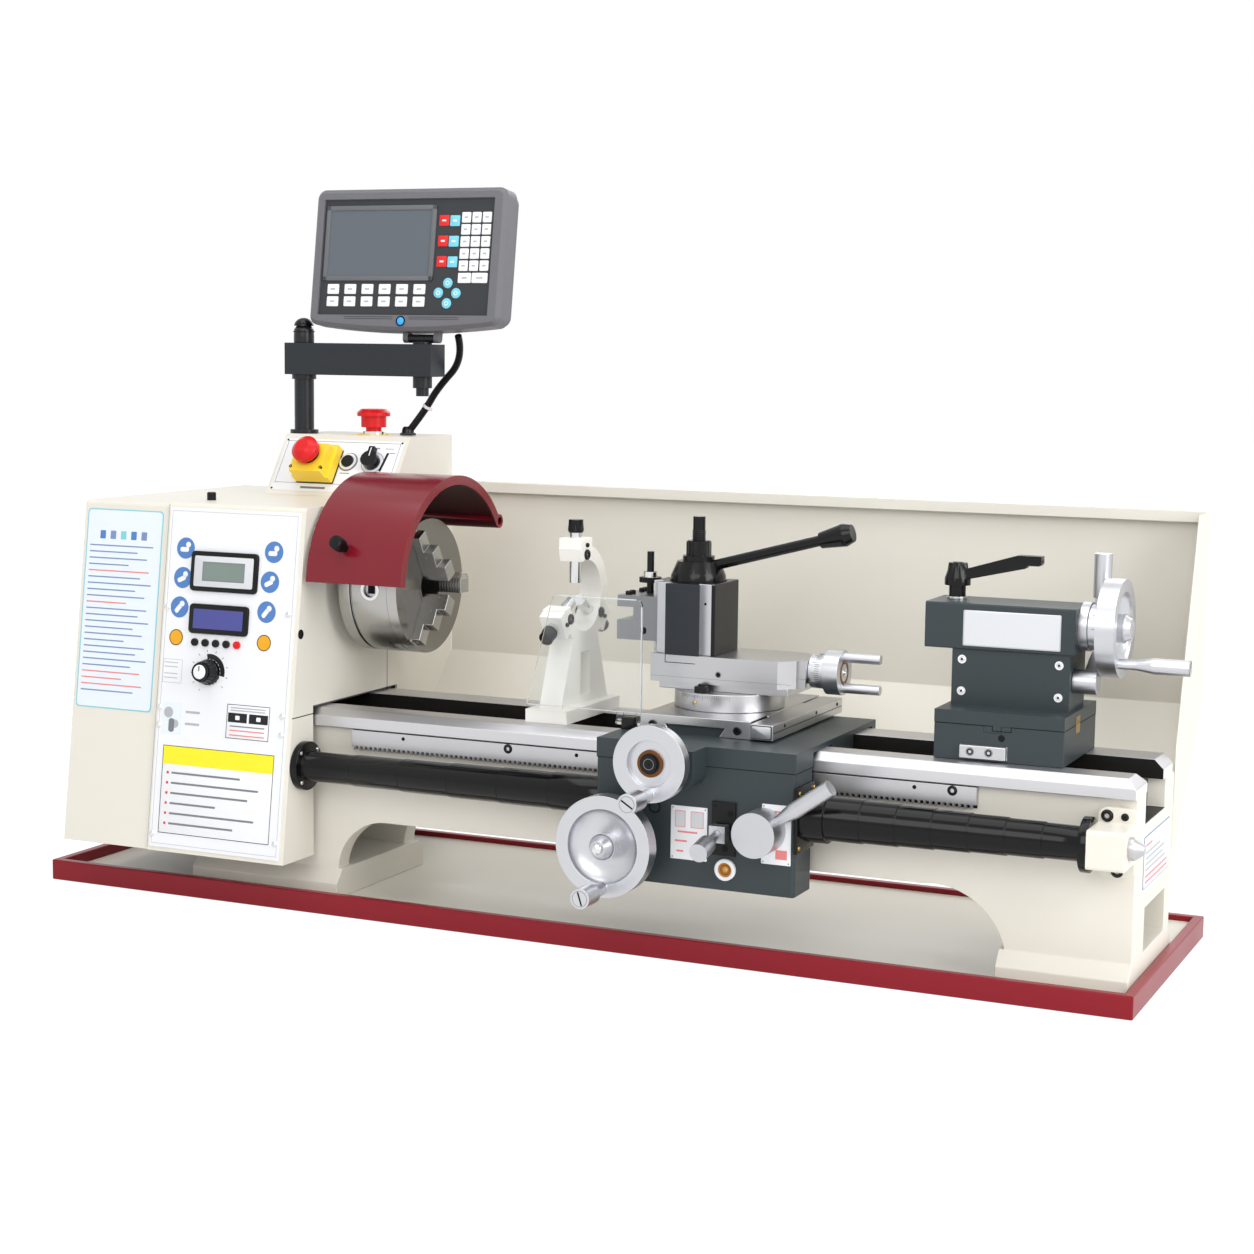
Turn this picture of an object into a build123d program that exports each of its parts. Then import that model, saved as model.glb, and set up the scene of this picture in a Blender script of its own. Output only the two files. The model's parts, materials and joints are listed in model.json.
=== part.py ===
from build123d import *
import os
from math import cos, radians, sin, tan

# Bench lathe, in millimetres. X runs along the bed from the headstock's right face, Y runs to the back
# from the spindle axis, and Z is up from the bench.

# Fits that every piece shares
running_fit = 0.05
slide_gap = 0.1
clear_gap = 0.3
overrun = 5.0

# Spindle line
spindle_z = 377.0
centre_height = 140.0
way_top = spindle_z - centre_height

# Bed length, which the tray, the bracket, the rack and the tailstock follow
bed_left = -172.0
bed_right = 965.0

# Tray frame and chip tray
tray_left_margin = 187.0
tray_right_margin = 12.0
tray_left = bed_left - tray_left_margin
tray_length = bed_right + tray_right_margin - tray_left
tray_front = -138.0
tray_depth = 369.0
rim_width = 11.0
rim_height = 25.0
pan_top = 12.0
pan_sheet = 2.0
pan_break_y = 100.0
pan_back_rise = 7.0

# Bed casting
bed_wall = 25.0
bed_wall_front = -95.0
bed_wall_back = 85.0
way_front = -104.0
way_width = 52.0
way_depth = 21.0
way_bevel_out = 12.0
way_bevel_in = 10.0
way_bevel_drop = 8.0
way_end_bevel = 10.0
rear_way_front = 28.0
rear_way_width = 47.0
arch_left = 26.0
right_foot = 133.0
arch_right = bed_right - right_foot
arch_top = 106.0
arch_spring = 45.0
arch_left_run = 69.0
arch_right_run = 92.0
arch_mid_shares = (0.3, 0.72)
foot_flange = 18.0
foot_flare = 16.0
foot_overhang = 13.0
foot_toe = 6.0
end_wall = 20.0
end_notch_front = -55.0
end_notch_back = 42.0
end_notch_bottom = 184.0
end_window_front = -42.0
end_window_back = 62.0
end_window_low = 46.0
end_window_high = 93.0
rib_count = 6
rib_thick = 14.0
rib_bottom = 130.0
rib_top = 195.0
rib_first = 120.0
rib_end_gap = 85.0

# Splash guard
splash_sheet = 2.0
splash_left = 1.0
splash_top = 486.0
splash_bend = 268.0
splash_back = 226.0
splash_flange_bottom = 92.0
splash_flange_top = 112.0
splash_hem = 11.0
gusset_top_front = 172.0
gusset_low_front = 94.0
gusset_low_z = 240.0

# Headstock casing, its front panel and the end cover
casing_left = -190.0
casing_bottom = 62.0
casing_top = 472.0
casing_front_low = -174.0
casing_front_high = -119.0
casing_back = 228.0
casing_wall = 3.0
casing_edge = 6.0
cover_left = -314.0
cover_setback = 2.0
seam_width = 1.2
seam_depth = 1.0
seam_z = 230.0
seam_y = 63.0
spindle_opening = 40.0
bed_opening_clear = 3.0
plug_radius = 5.5
plug_height = 10.0
plug_x = -167.0
plug_y = -67.0
panel_plate = 1.5
panel_left = -187.0
panel_right = -6.0
panel_low = 5.0
panel_high = 408.0
display_rise = 3.0
display_edge = 3.0
upper_display_left = -150.0
upper_display_right = -60.0
upper_display_low = 312.0
upper_display_high = 356.0
lower_display_left = -148.0
lower_display_right = -69.0
lower_display_low = 262.0
lower_display_high = 294.0
push_button_count = 5
push_button_first = -140.0
push_button_pitch = 14.7
push_button_drop = 12.0
push_button_v = lower_display_low - push_button_drop
push_button_radius = 4.5
push_button_rise = 3.0
speed_knob_u = -117.6
speed_knob_drop = 34.0
speed_knob_v = push_button_v - speed_knob_drop
speed_knob_radius = 15.0
speed_knob_top_radius = 11.0
speed_knob_height = 20.0
speed_shaft_radius = 3.0
speed_shaft_length = 12.0

# Headstock casting, bearings, spindle and drive
casting_left = -160.0
casting_base_front = -100.0
casting_base_back = 78.0
casting_base_height = 24.0
casting_half_width = 66.0
casting_top_z = 446.0
bearing_radius = 45.0
bearing_width = 22.0
spindle_radius = 29.95
spindle_bore = 19.0
spindle_left = -250.0
nose_radius = 55.0
nose_left = 6.0
nose_length = 12.0
spindle_pulley_radius = 60.0
pulley_left = -232.0
pulley_width = 26.0
pulley_hub = 36.0
motor_y = 150.0
motor_z = 165.0
motor_radius = 58.0
motor_left = -178.0
motor_right = -24.0
motor_foot_half = 30.0
motor_foot_height = 40.0
rotor_radius = 9.95
rotor_left = -240.0
rotor_right = -40.0
motor_pulley_radius = 30.0
belt_thick = 4.0

# Chuck
back_plate_length = 18.0
chuck_radius = 80.0
chuck_length = 60.0
chuck_groove = 3.0
chuck_bore = 21.0
jaw_count = 3
jaw_width = 17.4
jaw_root = 30.0
jaw_inner = 14.0
jaw_step = 20.0
jaw_rise = 34.0
jaw_rise_shares = (1.0, 0.68, 0.32)
jaw_outer = 77.0
key_socket_radius = 9.0
key_socket_depth = 10.0
key_socket_x_share = 0.42

# Chuck guard
guard_left = 6.0
guard_length = 126.0
guard_radius = 132.0
guard_sheet = 3.0
guard_lip = 11.0
guard_rear_angle = 33.0
guard_front_angle = 175.0
hinge_tube_radius = 8.5
hinge_bar_radius = 5.0
hinge_bar_end_clear = 24.0
guard_knob_x = 53.0
guard_knob_angle = 157.0
guard_knob_radius = 8.0
guard_knob_neck = 5.0
guard_knob_length = 14.0
guard_knob_neck_length = 9.0

# Control box on the headstock
box_left = -182.0
box_front_low = 72.0
box_front_high = 122.0
box_top = 546.0
switch_left = -142.0
switch_right = -89.0
switch_low = 18.0
switch_high = 66.0
switch_height = 30.0
switch_taper = 8.0
switch_stop_radius = 17.5
switch_stop_neck = 8.0
switch_stop_gap = 7.0
switch_stop_head = 15.0
switch_stop_root = 16.0
start_u = -77.0
start_v = 50.0
start_radius = 8.0
start_ring = 11.5
start_ring_height = 2.5
start_rise = 5.0
start_root = 10.0
selector_u = -42.0
selector_v = 50.0
selector_radius = 11.0
selector_height = 12.0
selector_shaft = 4.0
selector_pointer = 17.0
top_stop_x = -70.0
top_stop_y = 150.0
top_stop_neck = 10.0
top_stop_collar = 14.0
top_stop_collar_height = 5.0
top_stop_gap = 5.0
top_stop_drum_radius = 16.0
top_stop_drum = 14.0
top_stop_head_radius = 21.0
top_stop_head = 9.0
top_stop_root = 16.0

# Digital readout on its post
column_x = -168.0
column_y = 142.0
column_radius = 12.5
column_flange_radius = 18.0
column_flange = 5.0
column_collar_radius = 15.5
column_collar = 6.0
column_cap_radius = 13.0
column_cap = 25.0
arm_left = -186.0
arm_right = 27.0
arm_width = 36.0
arm_height = 40.0
arm_bottom = 621.0
stem_x = 5.0
stem_radius = 8.0
stem_nut_radius = 12.0
stem_nut = 14.0
stem_tail = 10.0
stem_collar = 3.0
knuckle_radius = 5.5
knuckle_length = 36.0
knuckle_rise = 7.0
tilt_pin_radius = 3.0
ear_thick = 7.0
housing_yaw = 0.0
housing_lean = -8.0
housing_left = -155.0
housing_right = 116.0
housing_front = -22.0
housing_back = 24.0
housing_split = 6.0
housing_step = 4.0
housing_belly = 6.5
housing_shoulder = 15.0
housing_top = 184.0
housing_corner = 12.0
housing_edge = 5.0
face_recess = 3.0
face_left = -142.0
face_right = 100.0
face_low = 26.0
face_high = 171.0
back_hump = 14.0
back_hump_inset = 28.0
cable_radius = 4.5
cable_route = ((50.0, 152.0, 672.0), (46.0, 174.0, 643.0), (8.0, 175.0, 606.0),
               (-9.0, 174.0, 578.0), (-33.0, 172.0, 549.2))

# Lead screw, its covers and bracket, and the rack
screw_y = -130.0
screw_z = 173.0
screw_radius = 10.0
screw_left = -20.0
bracket_length = 38.0
bracket_proud = 1.0
bracket_right = bed_right + bracket_proud
bracket_left = bracket_right - bracket_length
bracket_front = -158.0
bracket_low = 137.0
bracket_high = 208.0
bracket_plate = 12.0
bracket_corner = 9.0
bracket_boss_half = 20.0
bracket_round = 4.0
screw_cap_radius = 12.0
screw_cap_tip = 5.0
screw_cap = 15.0
cover_bore = 13.0
cover_flange_radius = 28.5
cover_flange = 9.0
left_cover_count = 6
left_cover_radius = 17.5
left_cover_step = 0.7
right_cover_count = 7
right_cover_radius = 23.5
right_cover_step = -0.9
cover_cup_radius = 27.0
cover_cup = 24.0
cover_plate = 4.0
cover_plate_half = 31.0
cover_plate_half_height = 35.0
rack_left = 50.0
rack_end_gap = 165.0
rack_right = bed_right - rack_end_gap
rack_top = 215.0
rack_depth = 19.0
rack_thick = 8.0
rack_pitch = 6.28
rack_tooth = 4.5

# Saddle and apron
carriage_left = 392.0
carriage_right = 622.0
apron_front = -159.0
apron_back = -107.0
apron_bottom = 90.0
apron_top = 222.0
apron_corner = 4.0
saddle_back = 100.0
saddle_top = 243.0
saddle_skirt = 12.0
saddle_skirt_drop = 24.0
bridge_front = -47.0
bridge_back = 23.0
bridge_bottom = 212.0
cross_x = 482.0
cross_screw_z = 231.0
boss_half_width = 38.0
boss_length = 36.0
boss_low = 200.0
boss_corner = 16.0
dovetail_root_half = 28.0
dovetail_top_half = 35.0
dovetail_height = 10.0
dovetail_front = -96.0
dovetail_back = 98.0
apron_shaft_x = 422.0
apron_shaft_z = 134.0
apron_shaft_radius = 12.0
apron_shaft_depth = 30.0
apron_wheel_radius = 55.0
apron_wheel_back = -188.0
apron_wheel_front = -207.0
apron_wheel_hub = 14.0
apron_wheel_nose = 11.0
apron_grip_drop = 45.0
grip_length = 54.0
grip_neck = 7.0
grip_head = 11.0
cross_shaft_radius = 7.0
cross_shaft_depth = 26.0
cross_wheel_radius = 41.0
cross_wheel_back = -209.0
cross_wheel_front = -223.0
cross_dial_radius = 25.0
cross_rim = 25.0
cross_recess = 6.0
cross_ring = 14.5
cross_ring_rise = 3.0
cross_bolt = 9.0
cross_grip_drop = 33.0
wheel_rim_share = 0.74
wheel_dish_share = 0.7
dish_steps = 6
feed_x = 542.0
feed_z = 154.0
feed_plate_left = 13.0
feed_plate_right = 14.0
feed_plate_low = 26.0
feed_plate_high = 32.0
feed_plate_thick = 3.0
feed_block = 9.0
feed_block_length = 14.0
feed_pivot_depth = 9.0
feed_pivot_radius = 7.0
feed_pivot_half = 6.0
feed_stand_off = 3.2
feed_slot_half = 9.0
feed_rod = 5.0
feed_rod_length = 26.0
feed_ball = 10.0
feed_ball_length = 24.0
feed_rod_drop = -10.0
half_nut_x = 588.0
half_nut_z = 160.0
half_nut_radius = 24.0
half_nut_length = 34.0
half_nut_shaft = 10.0
half_nut_depth = 15.0
half_nut_angle = 35.0
half_nut_bar = 96.0
half_nut_bar_neck = 5.0
half_nut_bar_head = 9.0
sight_x = 545.0
sight_z = 113.0
sight_radius = 11.5
sight_rise = 4.0
sight_glass = 8.0
sight_glass_depth = 2.0

# Cross slide, compound, tool post and holder
cross_slide_half = 65.0
cross_slide_front = -100.0
cross_slide_back = 118.0
cross_slide_top = 263.0
scale_bar_width = 26.0
scale_bar_gap = 2.0
scale_bar_low = 245.0
scale_bar_high = 262.0
scale_bar_front = -106.0
swivel_radius = 62.0
swivel_top = 283.0
compound_left = 412.0
compound_right = 566.0
compound_half = 38.0
compound_plate_top = 291.0
compound_dovetail_root = 18.0
compound_dovetail_top = 24.0
compound_dovetail = 11.0
top_slide_left = 404.0
top_slide_right = 572.0
top_slide_half = 45.0
top_slide_top = 322.0
top_slide_chamfer = 16.0
end_block = 9.0
end_block_half = 24.0
top_screw_z = 309.0
top_shaft_radius = 6.0
top_shaft_depth = 24.0
top_dial_radius = 19.0
top_dial = 16.0
top_wheel_radius = 25.0
top_wheel = 18.0
top_wheel_groove = 2.0
top_handle_radius = 5.5
top_handle_offset = 17.0
top_handle_length = 42.0
post_x = 443.0
post_y = -3.0
post_half = 35.0
post_top = 402.0
post_dovetail_root = 16.0
post_dovetail_top = 21.0
post_dovetail = 10.0
cam_radius = 31.0
cam_top_radius = 24.0
cam_base = 6.0
cam_height = 22.0
cam_collar_radius = 18.0
cam_collar = 6.0
post_nut_radius = 13.0
post_nut = 17.0
post_stud_radius = 7.0
post_stud = 27.0
lever_angle = 15.0
lever_height = 13.0
lever_length = 150.0
lever_radius = 6.0
lever_grip = 38.0
lever_grip_neck = 9.0
lever_grip_head = 13.0
holder_left = 357.0
holder_half = 30.0
holder_low = 334.0
holder_high = 384.0
tool_slot_low = 356.0
tool_slot_high = 371.0
tool_slot_depth = 20.0
holder_stud_x = 384.0
holder_stud = 4.0
holder_stud_length = 48.0
holder_nut_radius = 12.0
holder_nut_low = 13.0
holder_nut_height = 6.0

# Chip shield on the saddle
shield_y = -94.0
shield_sheet = 3.0
shield_low_left = 274.0
shield_top_left = 306.0
shield_right = 415.5
shield_low = 261.0
shield_high = 387.0
shield_bracket_left = 394.0
shield_bracket_right = 409.0
shield_corner = 8.0
shield_bracket_half = 6.0
shield_bracket_top = 257.0
shield_pin_z = 250.5
shield_pin_radius = 3.5
shield_tab = 8.0

# Tailstock
tail_end_gap = 222.0
tail_left = bed_right - tail_end_gap
tail_length = 139.0
tail_right = tail_left + tail_length
tail_front = -72.0
tail_back = 66.0
tail_base_height = 38.0
tail_tongue_half = 9.0
tail_tongue_inset = 63.0
tail_tongue_x = tail_left + tail_tongue_inset
tail_tongue_depth = 7.0
tail_plate = 14.0
tail_body_inset = 6.0
tail_body_left = tail_left + tail_body_inset
tail_body_right = tail_right - tail_body_inset
tail_body_half = 33.0
barrel_overhang = 24.0
barrel_setback = 1.0
barrel_left = tail_left - barrel_overhang
barrel_right = tail_right - barrel_setback
barrel_half = 36.0
barrel_bottom = 349.0
barrel_top = 398.0
tail_corner = 2.0
clamp_strip_inset = 29.0
clamp_strip_length = 50.0
clamp_strip_low = 240.0
clamp_strip_high = 254.0
clamp_strip_thick = 5.0
quill_radius = 15.0
quill_proud = 7.0
quill_end_gap = 9.0
quill_left = barrel_left - quill_proud
quill_right = barrel_right - quill_end_gap
quill_socket_mouth = 9.0
quill_socket_end = 7.5
quill_socket_depth = 80.0
tail_screw_radius = 5.0
tail_collar_radius = 26.0
tail_dial_radius = 24.0
tail_collar = 9.0
tail_dial = 9.0
tail_wheel_radius = 52.0
tail_wheel_gap = 14.0
tail_wheel_left = barrel_right + tail_collar + tail_wheel_gap
tail_wheel_width = 20.0
tail_hub_radius = 15.0
tail_nut = 8.0
tail_nut_length = 8.0
tail_grip_y = -25.0
tail_grip_z = -34.0
tail_grip_length = 74.0
tail_grip_neck = 5.5
tail_grip_head = 8.5
lock_x = tail_left
lock_washer_radius = 11.0
lock_washer = 3.0
lock_neck = 9.0
lock_neck_height = 12.0
lock_hub = 14.0
lock_hub_top = 9.0
lock_hub_height = 22.0
lock_screw_depth = 5.0
lock_screw = 4.0
lock_arm_length = 92.0
lock_arm_rise = 20.0
lock_arm_width = 13.0
lock_arm_thick = 8.0
clamp_y = -12.0
clamp_z = 320.0
clamp_stub = 13.0
clamp_stub_length = 25.0
clamp_shaft = 8.0
clamp_shaft_depth = 30.0
clamp_arm_gap = 8.0
clamp_arm_thick = 12.0
clamp_arm_half = 6.0
clamp_grip_y = 40.0
clamp_grip_low = 404.0
clamp_grip_high = 451.0
clamp_grip_radius = 9.5
clamp_elbow_z = 344.0

# Steady rest
steady_x = 288.0
steady_half = 14.0
steady_ring = 57.0
steady_bore = 41.0
steady_open_top_angle = 107.0
steady_open_low_angle = 193.0
steady_boss_half = 15.0
steady_boss_end = 66.0
steady_waist = 32.0
steady_waist_z = 332.0
steady_hip = 62.0
steady_foot_half = 26.0
steady_foot_front = -74.0
steady_foot_back = 70.0
steady_foot_height = 15.0
steady_window_half = 12.0
steady_window_low = 262.0
steady_window_high = 312.0
finger_angles = (90.0, 210.0, 330.0)
finger_radius = 7.0
finger_tip = 14.0
finger_knob_gap = 6.0
finger_knob_radius = 8.5
finger_knob_length = 15.0


def block(x, y, z):
    """A box between two ends on each axis."""
    size = [ends[1] - ends[0] for ends in (x, y, z)]
    return Pos(x[0], y[0], z[0]) * Box(*size, align=(Align.MIN, Align.MIN, Align.MIN))


def rod(start, end, radius):
    """A round bar from one point to another."""
    start = Vector(*start)
    along = Vector(*end) - start
    bar = Cylinder(radius, along.length, align=(Align.CENTER, Align.CENTER, Align.MIN))
    return Plane(origin=start, z_dir=along) * bar


def turned(profile, base, axis):
    """A turned solid: the profile holds (radius, distance along the axis) pairs."""
    plane = Plane(origin=base, z_dir=axis)
    points = [plane.origin + plane.x_dir * radius + plane.z_dir * along for radius, along in profile]
    return revolve(make_face(Polyline(*points, close=True)), Axis(plane.origin, plane.z_dir))


def prism_x(outline, x):
    """An outline in Y and Z, drawn out along X."""
    face = make_face(Polyline(*[(x[0], y, z) for y, z in outline], close=True))
    return extrude(face, amount=x[1] - x[0], dir=(1, 0, 0))


def prism_y(outline, y):
    """An outline in X and Z, drawn out along Y."""
    face = make_face(Polyline(*[(x, y[0], z) for x, z in outline], close=True))
    return extrude(face, amount=y[1] - y[0], dir=(0, 1, 0))


def prism_z(outline, z):
    """An outline in X and Y, drawn out along Z."""
    face = make_face(Polyline(*[(x, y, z[0]) for x, y in outline], close=True))
    return extrude(face, amount=z[1] - z[0], dir=(0, 0, 1))


def offset_path(points, distance):
    """The open path moved sideways, with mitred corners."""
    moved = []
    for index, point in enumerate(points):
        here = Vector(*point)
        before = Vector(*points[max(index - 1, 0)])
        after = Vector(*points[min(index + 1, len(points) - 1)])
        into = (here - before).normalized() if index else (after - here).normalized()
        out = (after - here).normalized() if index < len(points) - 1 else into
        normal_in = Vector(-into.Y, into.X)
        normal_out = Vector(-out.Y, out.X)
        middle = (normal_in + normal_out).normalized()
        corner = here + middle * (distance / middle.dot(normal_in))
        moved.append((corner.X, corner.Y))
    return moved


def sheet_x(path, thickness, x):
    """A bent sheet: a path in Y and Z with a thickness, drawn out along X."""
    return prism_x(list(path) + offset_path(path, thickness)[::-1], x)


def radial(angle, distance, x):
    """A point at an angle round the spindle axis, measured from +Y towards +Z."""
    turn = radians(angle)
    return (x, distance * cos(turn), spindle_z + distance * sin(turn))


def grip(start, axis, length, neck, head):
    """A machine handle: slim at its root, swelling to a flat end."""
    outline = [(0, 0), (neck, 0), (neck, length / 4), (head, length / 2), (head, length), (0, length)]
    return turned(outline, start, axis)


def dished_wheel(centre, axis, radius, width, hub, nose, shaft, reach):
    """A handwheel with a heavy rim, a dished web, a hub nose in front and a shaft behind."""
    rim = radius * wheel_rim_share
    dish = width * wheel_dish_share
    outline = [(0, -reach), (shaft, -reach), (shaft, 0), (radius, 0), (radius, width)]
    for step in range(dish_steps + 1):
        turn = radians(90 * step / dish_steps)
        outline.append((hub + (rim - hub) * cos(turn), width - dish * sin(turn)))
    outline += [(hub, width), (hub - nose / 2, width + nose), (0, width + nose)]
    return turned(outline, centre, axis)


def tray_frame():
    outer = block((tray_left, tray_left + tray_length), (tray_front, tray_front + tray_depth),
                  (0, rim_height))
    inner = block((tray_left + rim_width, tray_left + tray_length - rim_width),
                  (tray_front + rim_width, tray_front + tray_depth - rim_width),
                  (-overrun, rim_height + overrun))
    return outer - inner


def bed_feet():
    """The X spans of the two feet."""
    return [(bed_left, arch_left + foot_toe), (arch_right - foot_toe, bed_right)]


def chip_tray():
    x = (tray_left + rim_width, tray_left + tray_length - rim_width)
    front = tray_front + rim_width
    back = tray_front + tray_depth - rim_width
    top = [(front, 0), (front, pan_top), (pan_break_y, pan_top), (back, pan_top + pan_back_rise),
           (back, 0)]
    low = pan_top - pan_sheet
    under = [(front + pan_sheet, -overrun), (front + pan_sheet, low), (pan_break_y, low),
             (back - pan_sheet, low + pan_back_rise), (back - pan_sheet, -overrun)]
    pan = prism_x(top, x) - prism_x(under, (x[0] + pan_sheet, x[1] - pan_sheet))
    for foot_x in bed_feet():
        pan += block(foot_x, (bed_wall_front - foot_overhang, bed_wall_back + foot_overhang), (0, low))
    return pan


def bed():
    front_way = [(way_front, way_top - way_depth), (way_front, way_top - way_bevel_drop),
                 (way_front + way_bevel_out, way_top), (way_front + way_width - way_bevel_in, way_top),
                 (way_front + way_width, way_top - way_bevel_drop),
                 (way_front + way_width, way_top - way_depth)]
    length = (bed_left, bed_right)
    under_way = way_top - way_depth
    front_wall = (bed_wall_front, bed_wall_front + bed_wall)
    rear_wall = (bed_wall_back - bed_wall, bed_wall_back)
    inside = (front_wall[1], rear_wall[0])
    casting = block(length, front_wall, (pan_top, under_way))
    casting += block(length, rear_wall, (pan_top, under_way))

    left_top = arch_left + arch_left_run
    right_top = arch_right - arch_right_run
    spring = arch_top - arch_spring
    across, upward = arch_mid_shares
    y = bed_wall_front - overrun
    low = pan_top - overrun
    corners = [(arch_left, low), (arch_left, arch_spring), (left_top, arch_top), (right_top, arch_top),
               (arch_right, arch_spring), (arch_right, low)]
    left_middle = (arch_left + arch_left_run * across, arch_spring + spring * upward)
    right_middle = (arch_right - arch_right_run * across, arch_spring + spring * upward)
    at = [(x, y, z) for x, z in corners]
    edges = [Line(at[0], at[1]), ThreePointArc(at[1], (left_middle[0], y, left_middle[1]), at[2]),
             Line(at[2], at[3]), ThreePointArc(at[3], (right_middle[0], y, right_middle[1]), at[4]),
             Line(at[4], at[5]), Line(at[5], at[0])]
    depth = bed_wall_back - bed_wall_front + overrun * 2
    casting -= extrude(make_face(edges), amount=depth, dir=(0, 1, 0))

    end = block((bed_right - end_wall, bed_right), inside, (pan_top, under_way))
    end -= block((bed_right - end_wall - overrun, bed_right + overrun), (end_notch_front, end_notch_back),
                 (end_notch_bottom, way_top))
    end -= block((bed_right - end_wall - overrun, bed_right + overrun),
                 (end_window_front, end_window_back), (end_window_low, end_window_high))
    casting += end + block((bed_left, bed_left + end_wall), inside, (pan_top, under_way))
    for number in range(rib_count):
        x = rib_first + (bed_right - rib_end_gap - rib_first) * number / (rib_count - 1)
        casting += block((x, x + rib_thick), inside, (rib_bottom, rib_top))
    flange = pan_top + foot_flange
    foot = [(bed_wall_front - foot_overhang, pan_top), (bed_wall_front - foot_overhang, flange),
            (bed_wall_front, flange + foot_flare), (bed_wall_back, flange + foot_flare),
            (bed_wall_back + foot_overhang, flange), (bed_wall_back + foot_overhang, pan_top)]
    for foot_x in bed_feet():
        casting += prism_x(foot, foot_x)
    rear_way = block(length, (rear_way_front, rear_way_front + rear_way_width), (under_way, way_top))
    casting += prism_x(front_way, length) + rear_way
    bevel = [(bed_right - way_end_bevel, way_top), (bed_right, way_top - way_end_bevel),
             (bed_right + overrun, way_top - way_end_bevel), (bed_right + overrun, way_top + overrun),
             (bed_right - way_end_bevel, way_top + overrun)]
    return casting - prism_y(bevel, (way_front - overrun, bed_wall_back + overrun))


def splash_guard():
    hem_front = splash_back - splash_hem
    path = [(bed_wall_back, splash_flange_bottom), (bed_wall_back, splash_flange_top),
            (splash_back, splash_bend),
            (splash_back, splash_top), (hem_front, splash_top), (hem_front, splash_top - splash_hem)]
    sheet = sheet_x(path, -splash_sheet, (splash_left, bed_right))
    gusset = [(splash_back, splash_top), (gusset_top_front, splash_top), (gusset_low_front, gusset_low_z),
              (bed_wall_back + splash_sheet, splash_flange_top), (splash_back, splash_bend)]
    return sheet + prism_x(gusset, (bed_right - splash_sheet, bed_right))


def casing_front(z):
    """The leaning front face's Y at a height."""
    lean = (casing_front_high - casing_front_low) / (casing_top - casing_bottom)
    return casing_front_low + (z - casing_bottom) * lean


def casing_outline(bottom, inset):
    """The casing's section, with the walls moved in by an inset."""
    top = casing_top - inset
    return [(casing_front(bottom) + inset, bottom), (casing_front(top) + inset, top),
            (casing_back - inset, top),
            (casing_back - inset, bottom)]


def panel_plane():
    """The leaning front panel: local X along the bed, local Y up the slope, local Z outwards."""
    origin = (0, casing_front(casing_bottom), casing_bottom)
    lean = Vector(0, casing_front_high - casing_front_low, casing_top - casing_bottom)
    return Plane(origin=origin, x_dir=(1, 0, 0), z_dir=(0, -lean.Z, lean.Y))


def box_plane():
    """The control box's sloped face, in the same way."""
    origin = (0, box_front_low, casing_top)
    slope = Vector(0, box_front_high - box_front_low, box_top - casing_top)
    return Plane(origin=origin, x_dir=(1, 0, 0), z_dir=(0, -slope.Z, slope.Y))


def switch_middle():
    """The centre of the switch box on the sloped face."""
    return (switch_left + switch_right) / 2, (switch_low + switch_high) / 2


def disc(plane, u, v, radius, low, high):
    """A round boss or hole on a tilted plane."""
    return plane * rod((u, v, low), (u, v, high), radius)


def hinge_line():
    """The guard hinge's Y and Z."""
    middle = guard_radius - guard_sheet / 2
    return radial(guard_rear_angle, middle, 0)[1:]


def headstock_casing():
    outer = prism_x(casing_outline(casing_bottom, 0), (casing_left, 0))
    front_top = [edge for edge in outer.edges().filter_by(Axis.X) if edge.center().Z > spindle_z]
    outer = fillet(front_top, casing_edge)
    hollow = prism_x(casing_outline(casing_bottom - overrun, casing_wall),
                     (casing_left - overrun, -casing_wall))
    shell = outer - hollow
    wall = (-casing_wall - overrun, overrun)
    shell -= block(wall, (way_front - bed_opening_clear, bed_wall_back + bed_opening_clear),
                   (casing_bottom - overrun, way_top + bed_opening_clear))
    shell -= rod((wall[0], 0, spindle_z), (wall[1], 0, spindle_z), spindle_opening)
    shell -= rod((wall[0], screw_y, screw_z), (wall[1], screw_y, screw_z), screw_radius + running_fit)
    seam = (-seam_depth, overrun)
    shell -= block(seam, (casing_front_low - overrun, way_front), (seam_z, seam_z + seam_width))
    shell -= block(seam, (seam_y, seam_y + seam_width), (way_top, spindle_z))
    shaft_hole = speed_shaft_radius + running_fit
    shell -= disc(panel_plane(), speed_knob_u, speed_knob_v, shaft_hole, -casing_wall * 2, overrun)
    plug = [(0, 0), (plug_radius, 0), (plug_radius, plug_height - seam_width),
            (plug_radius - seam_width, plug_height), (0, plug_height)]
    shell += turned(plug, (plug_x, plug_y, casing_top), (0, 0, 1))
    y, z = hinge_line()
    bar_end = guard_left + guard_length - hinge_bar_end_clear
    return shell + rod((-casing_wall, y, z), (bar_end, y, z), hinge_bar_radius)


def end_cover():
    outer = prism_x(casing_outline(casing_bottom, cover_setback), (cover_left, casing_left))
    long_edges = [edge for edge in outer.edges().filter_by(Axis.X) if edge.center().Z > spindle_z]
    outer = fillet(long_edges, casing_edge)
    end_edges = outer.edges().filter_by(Plane.YZ).group_by(Axis.X)[0]
    outer = chamfer([edge for edge in end_edges if edge.center().Z > casing_bottom + overrun], seam_width)
    inset = cover_setback + casing_wall
    hollow = prism_x(casing_outline(casing_bottom - overrun, inset),
                     (cover_left + casing_wall, casing_left + overrun))
    return outer - hollow


def headstock_casting():
    base = block((casting_left, -casing_wall), (casting_base_front, casting_base_back),
                 (way_top, way_top + casting_base_height))
    body = block((casting_left, -casing_wall), (-casting_half_width, casting_half_width),
                 (way_top + casting_base_height, casting_top_z))
    return base + body - rod((casting_left - overrun, 0, spindle_z), (0, 0, spindle_z), bearing_radius)


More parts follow.
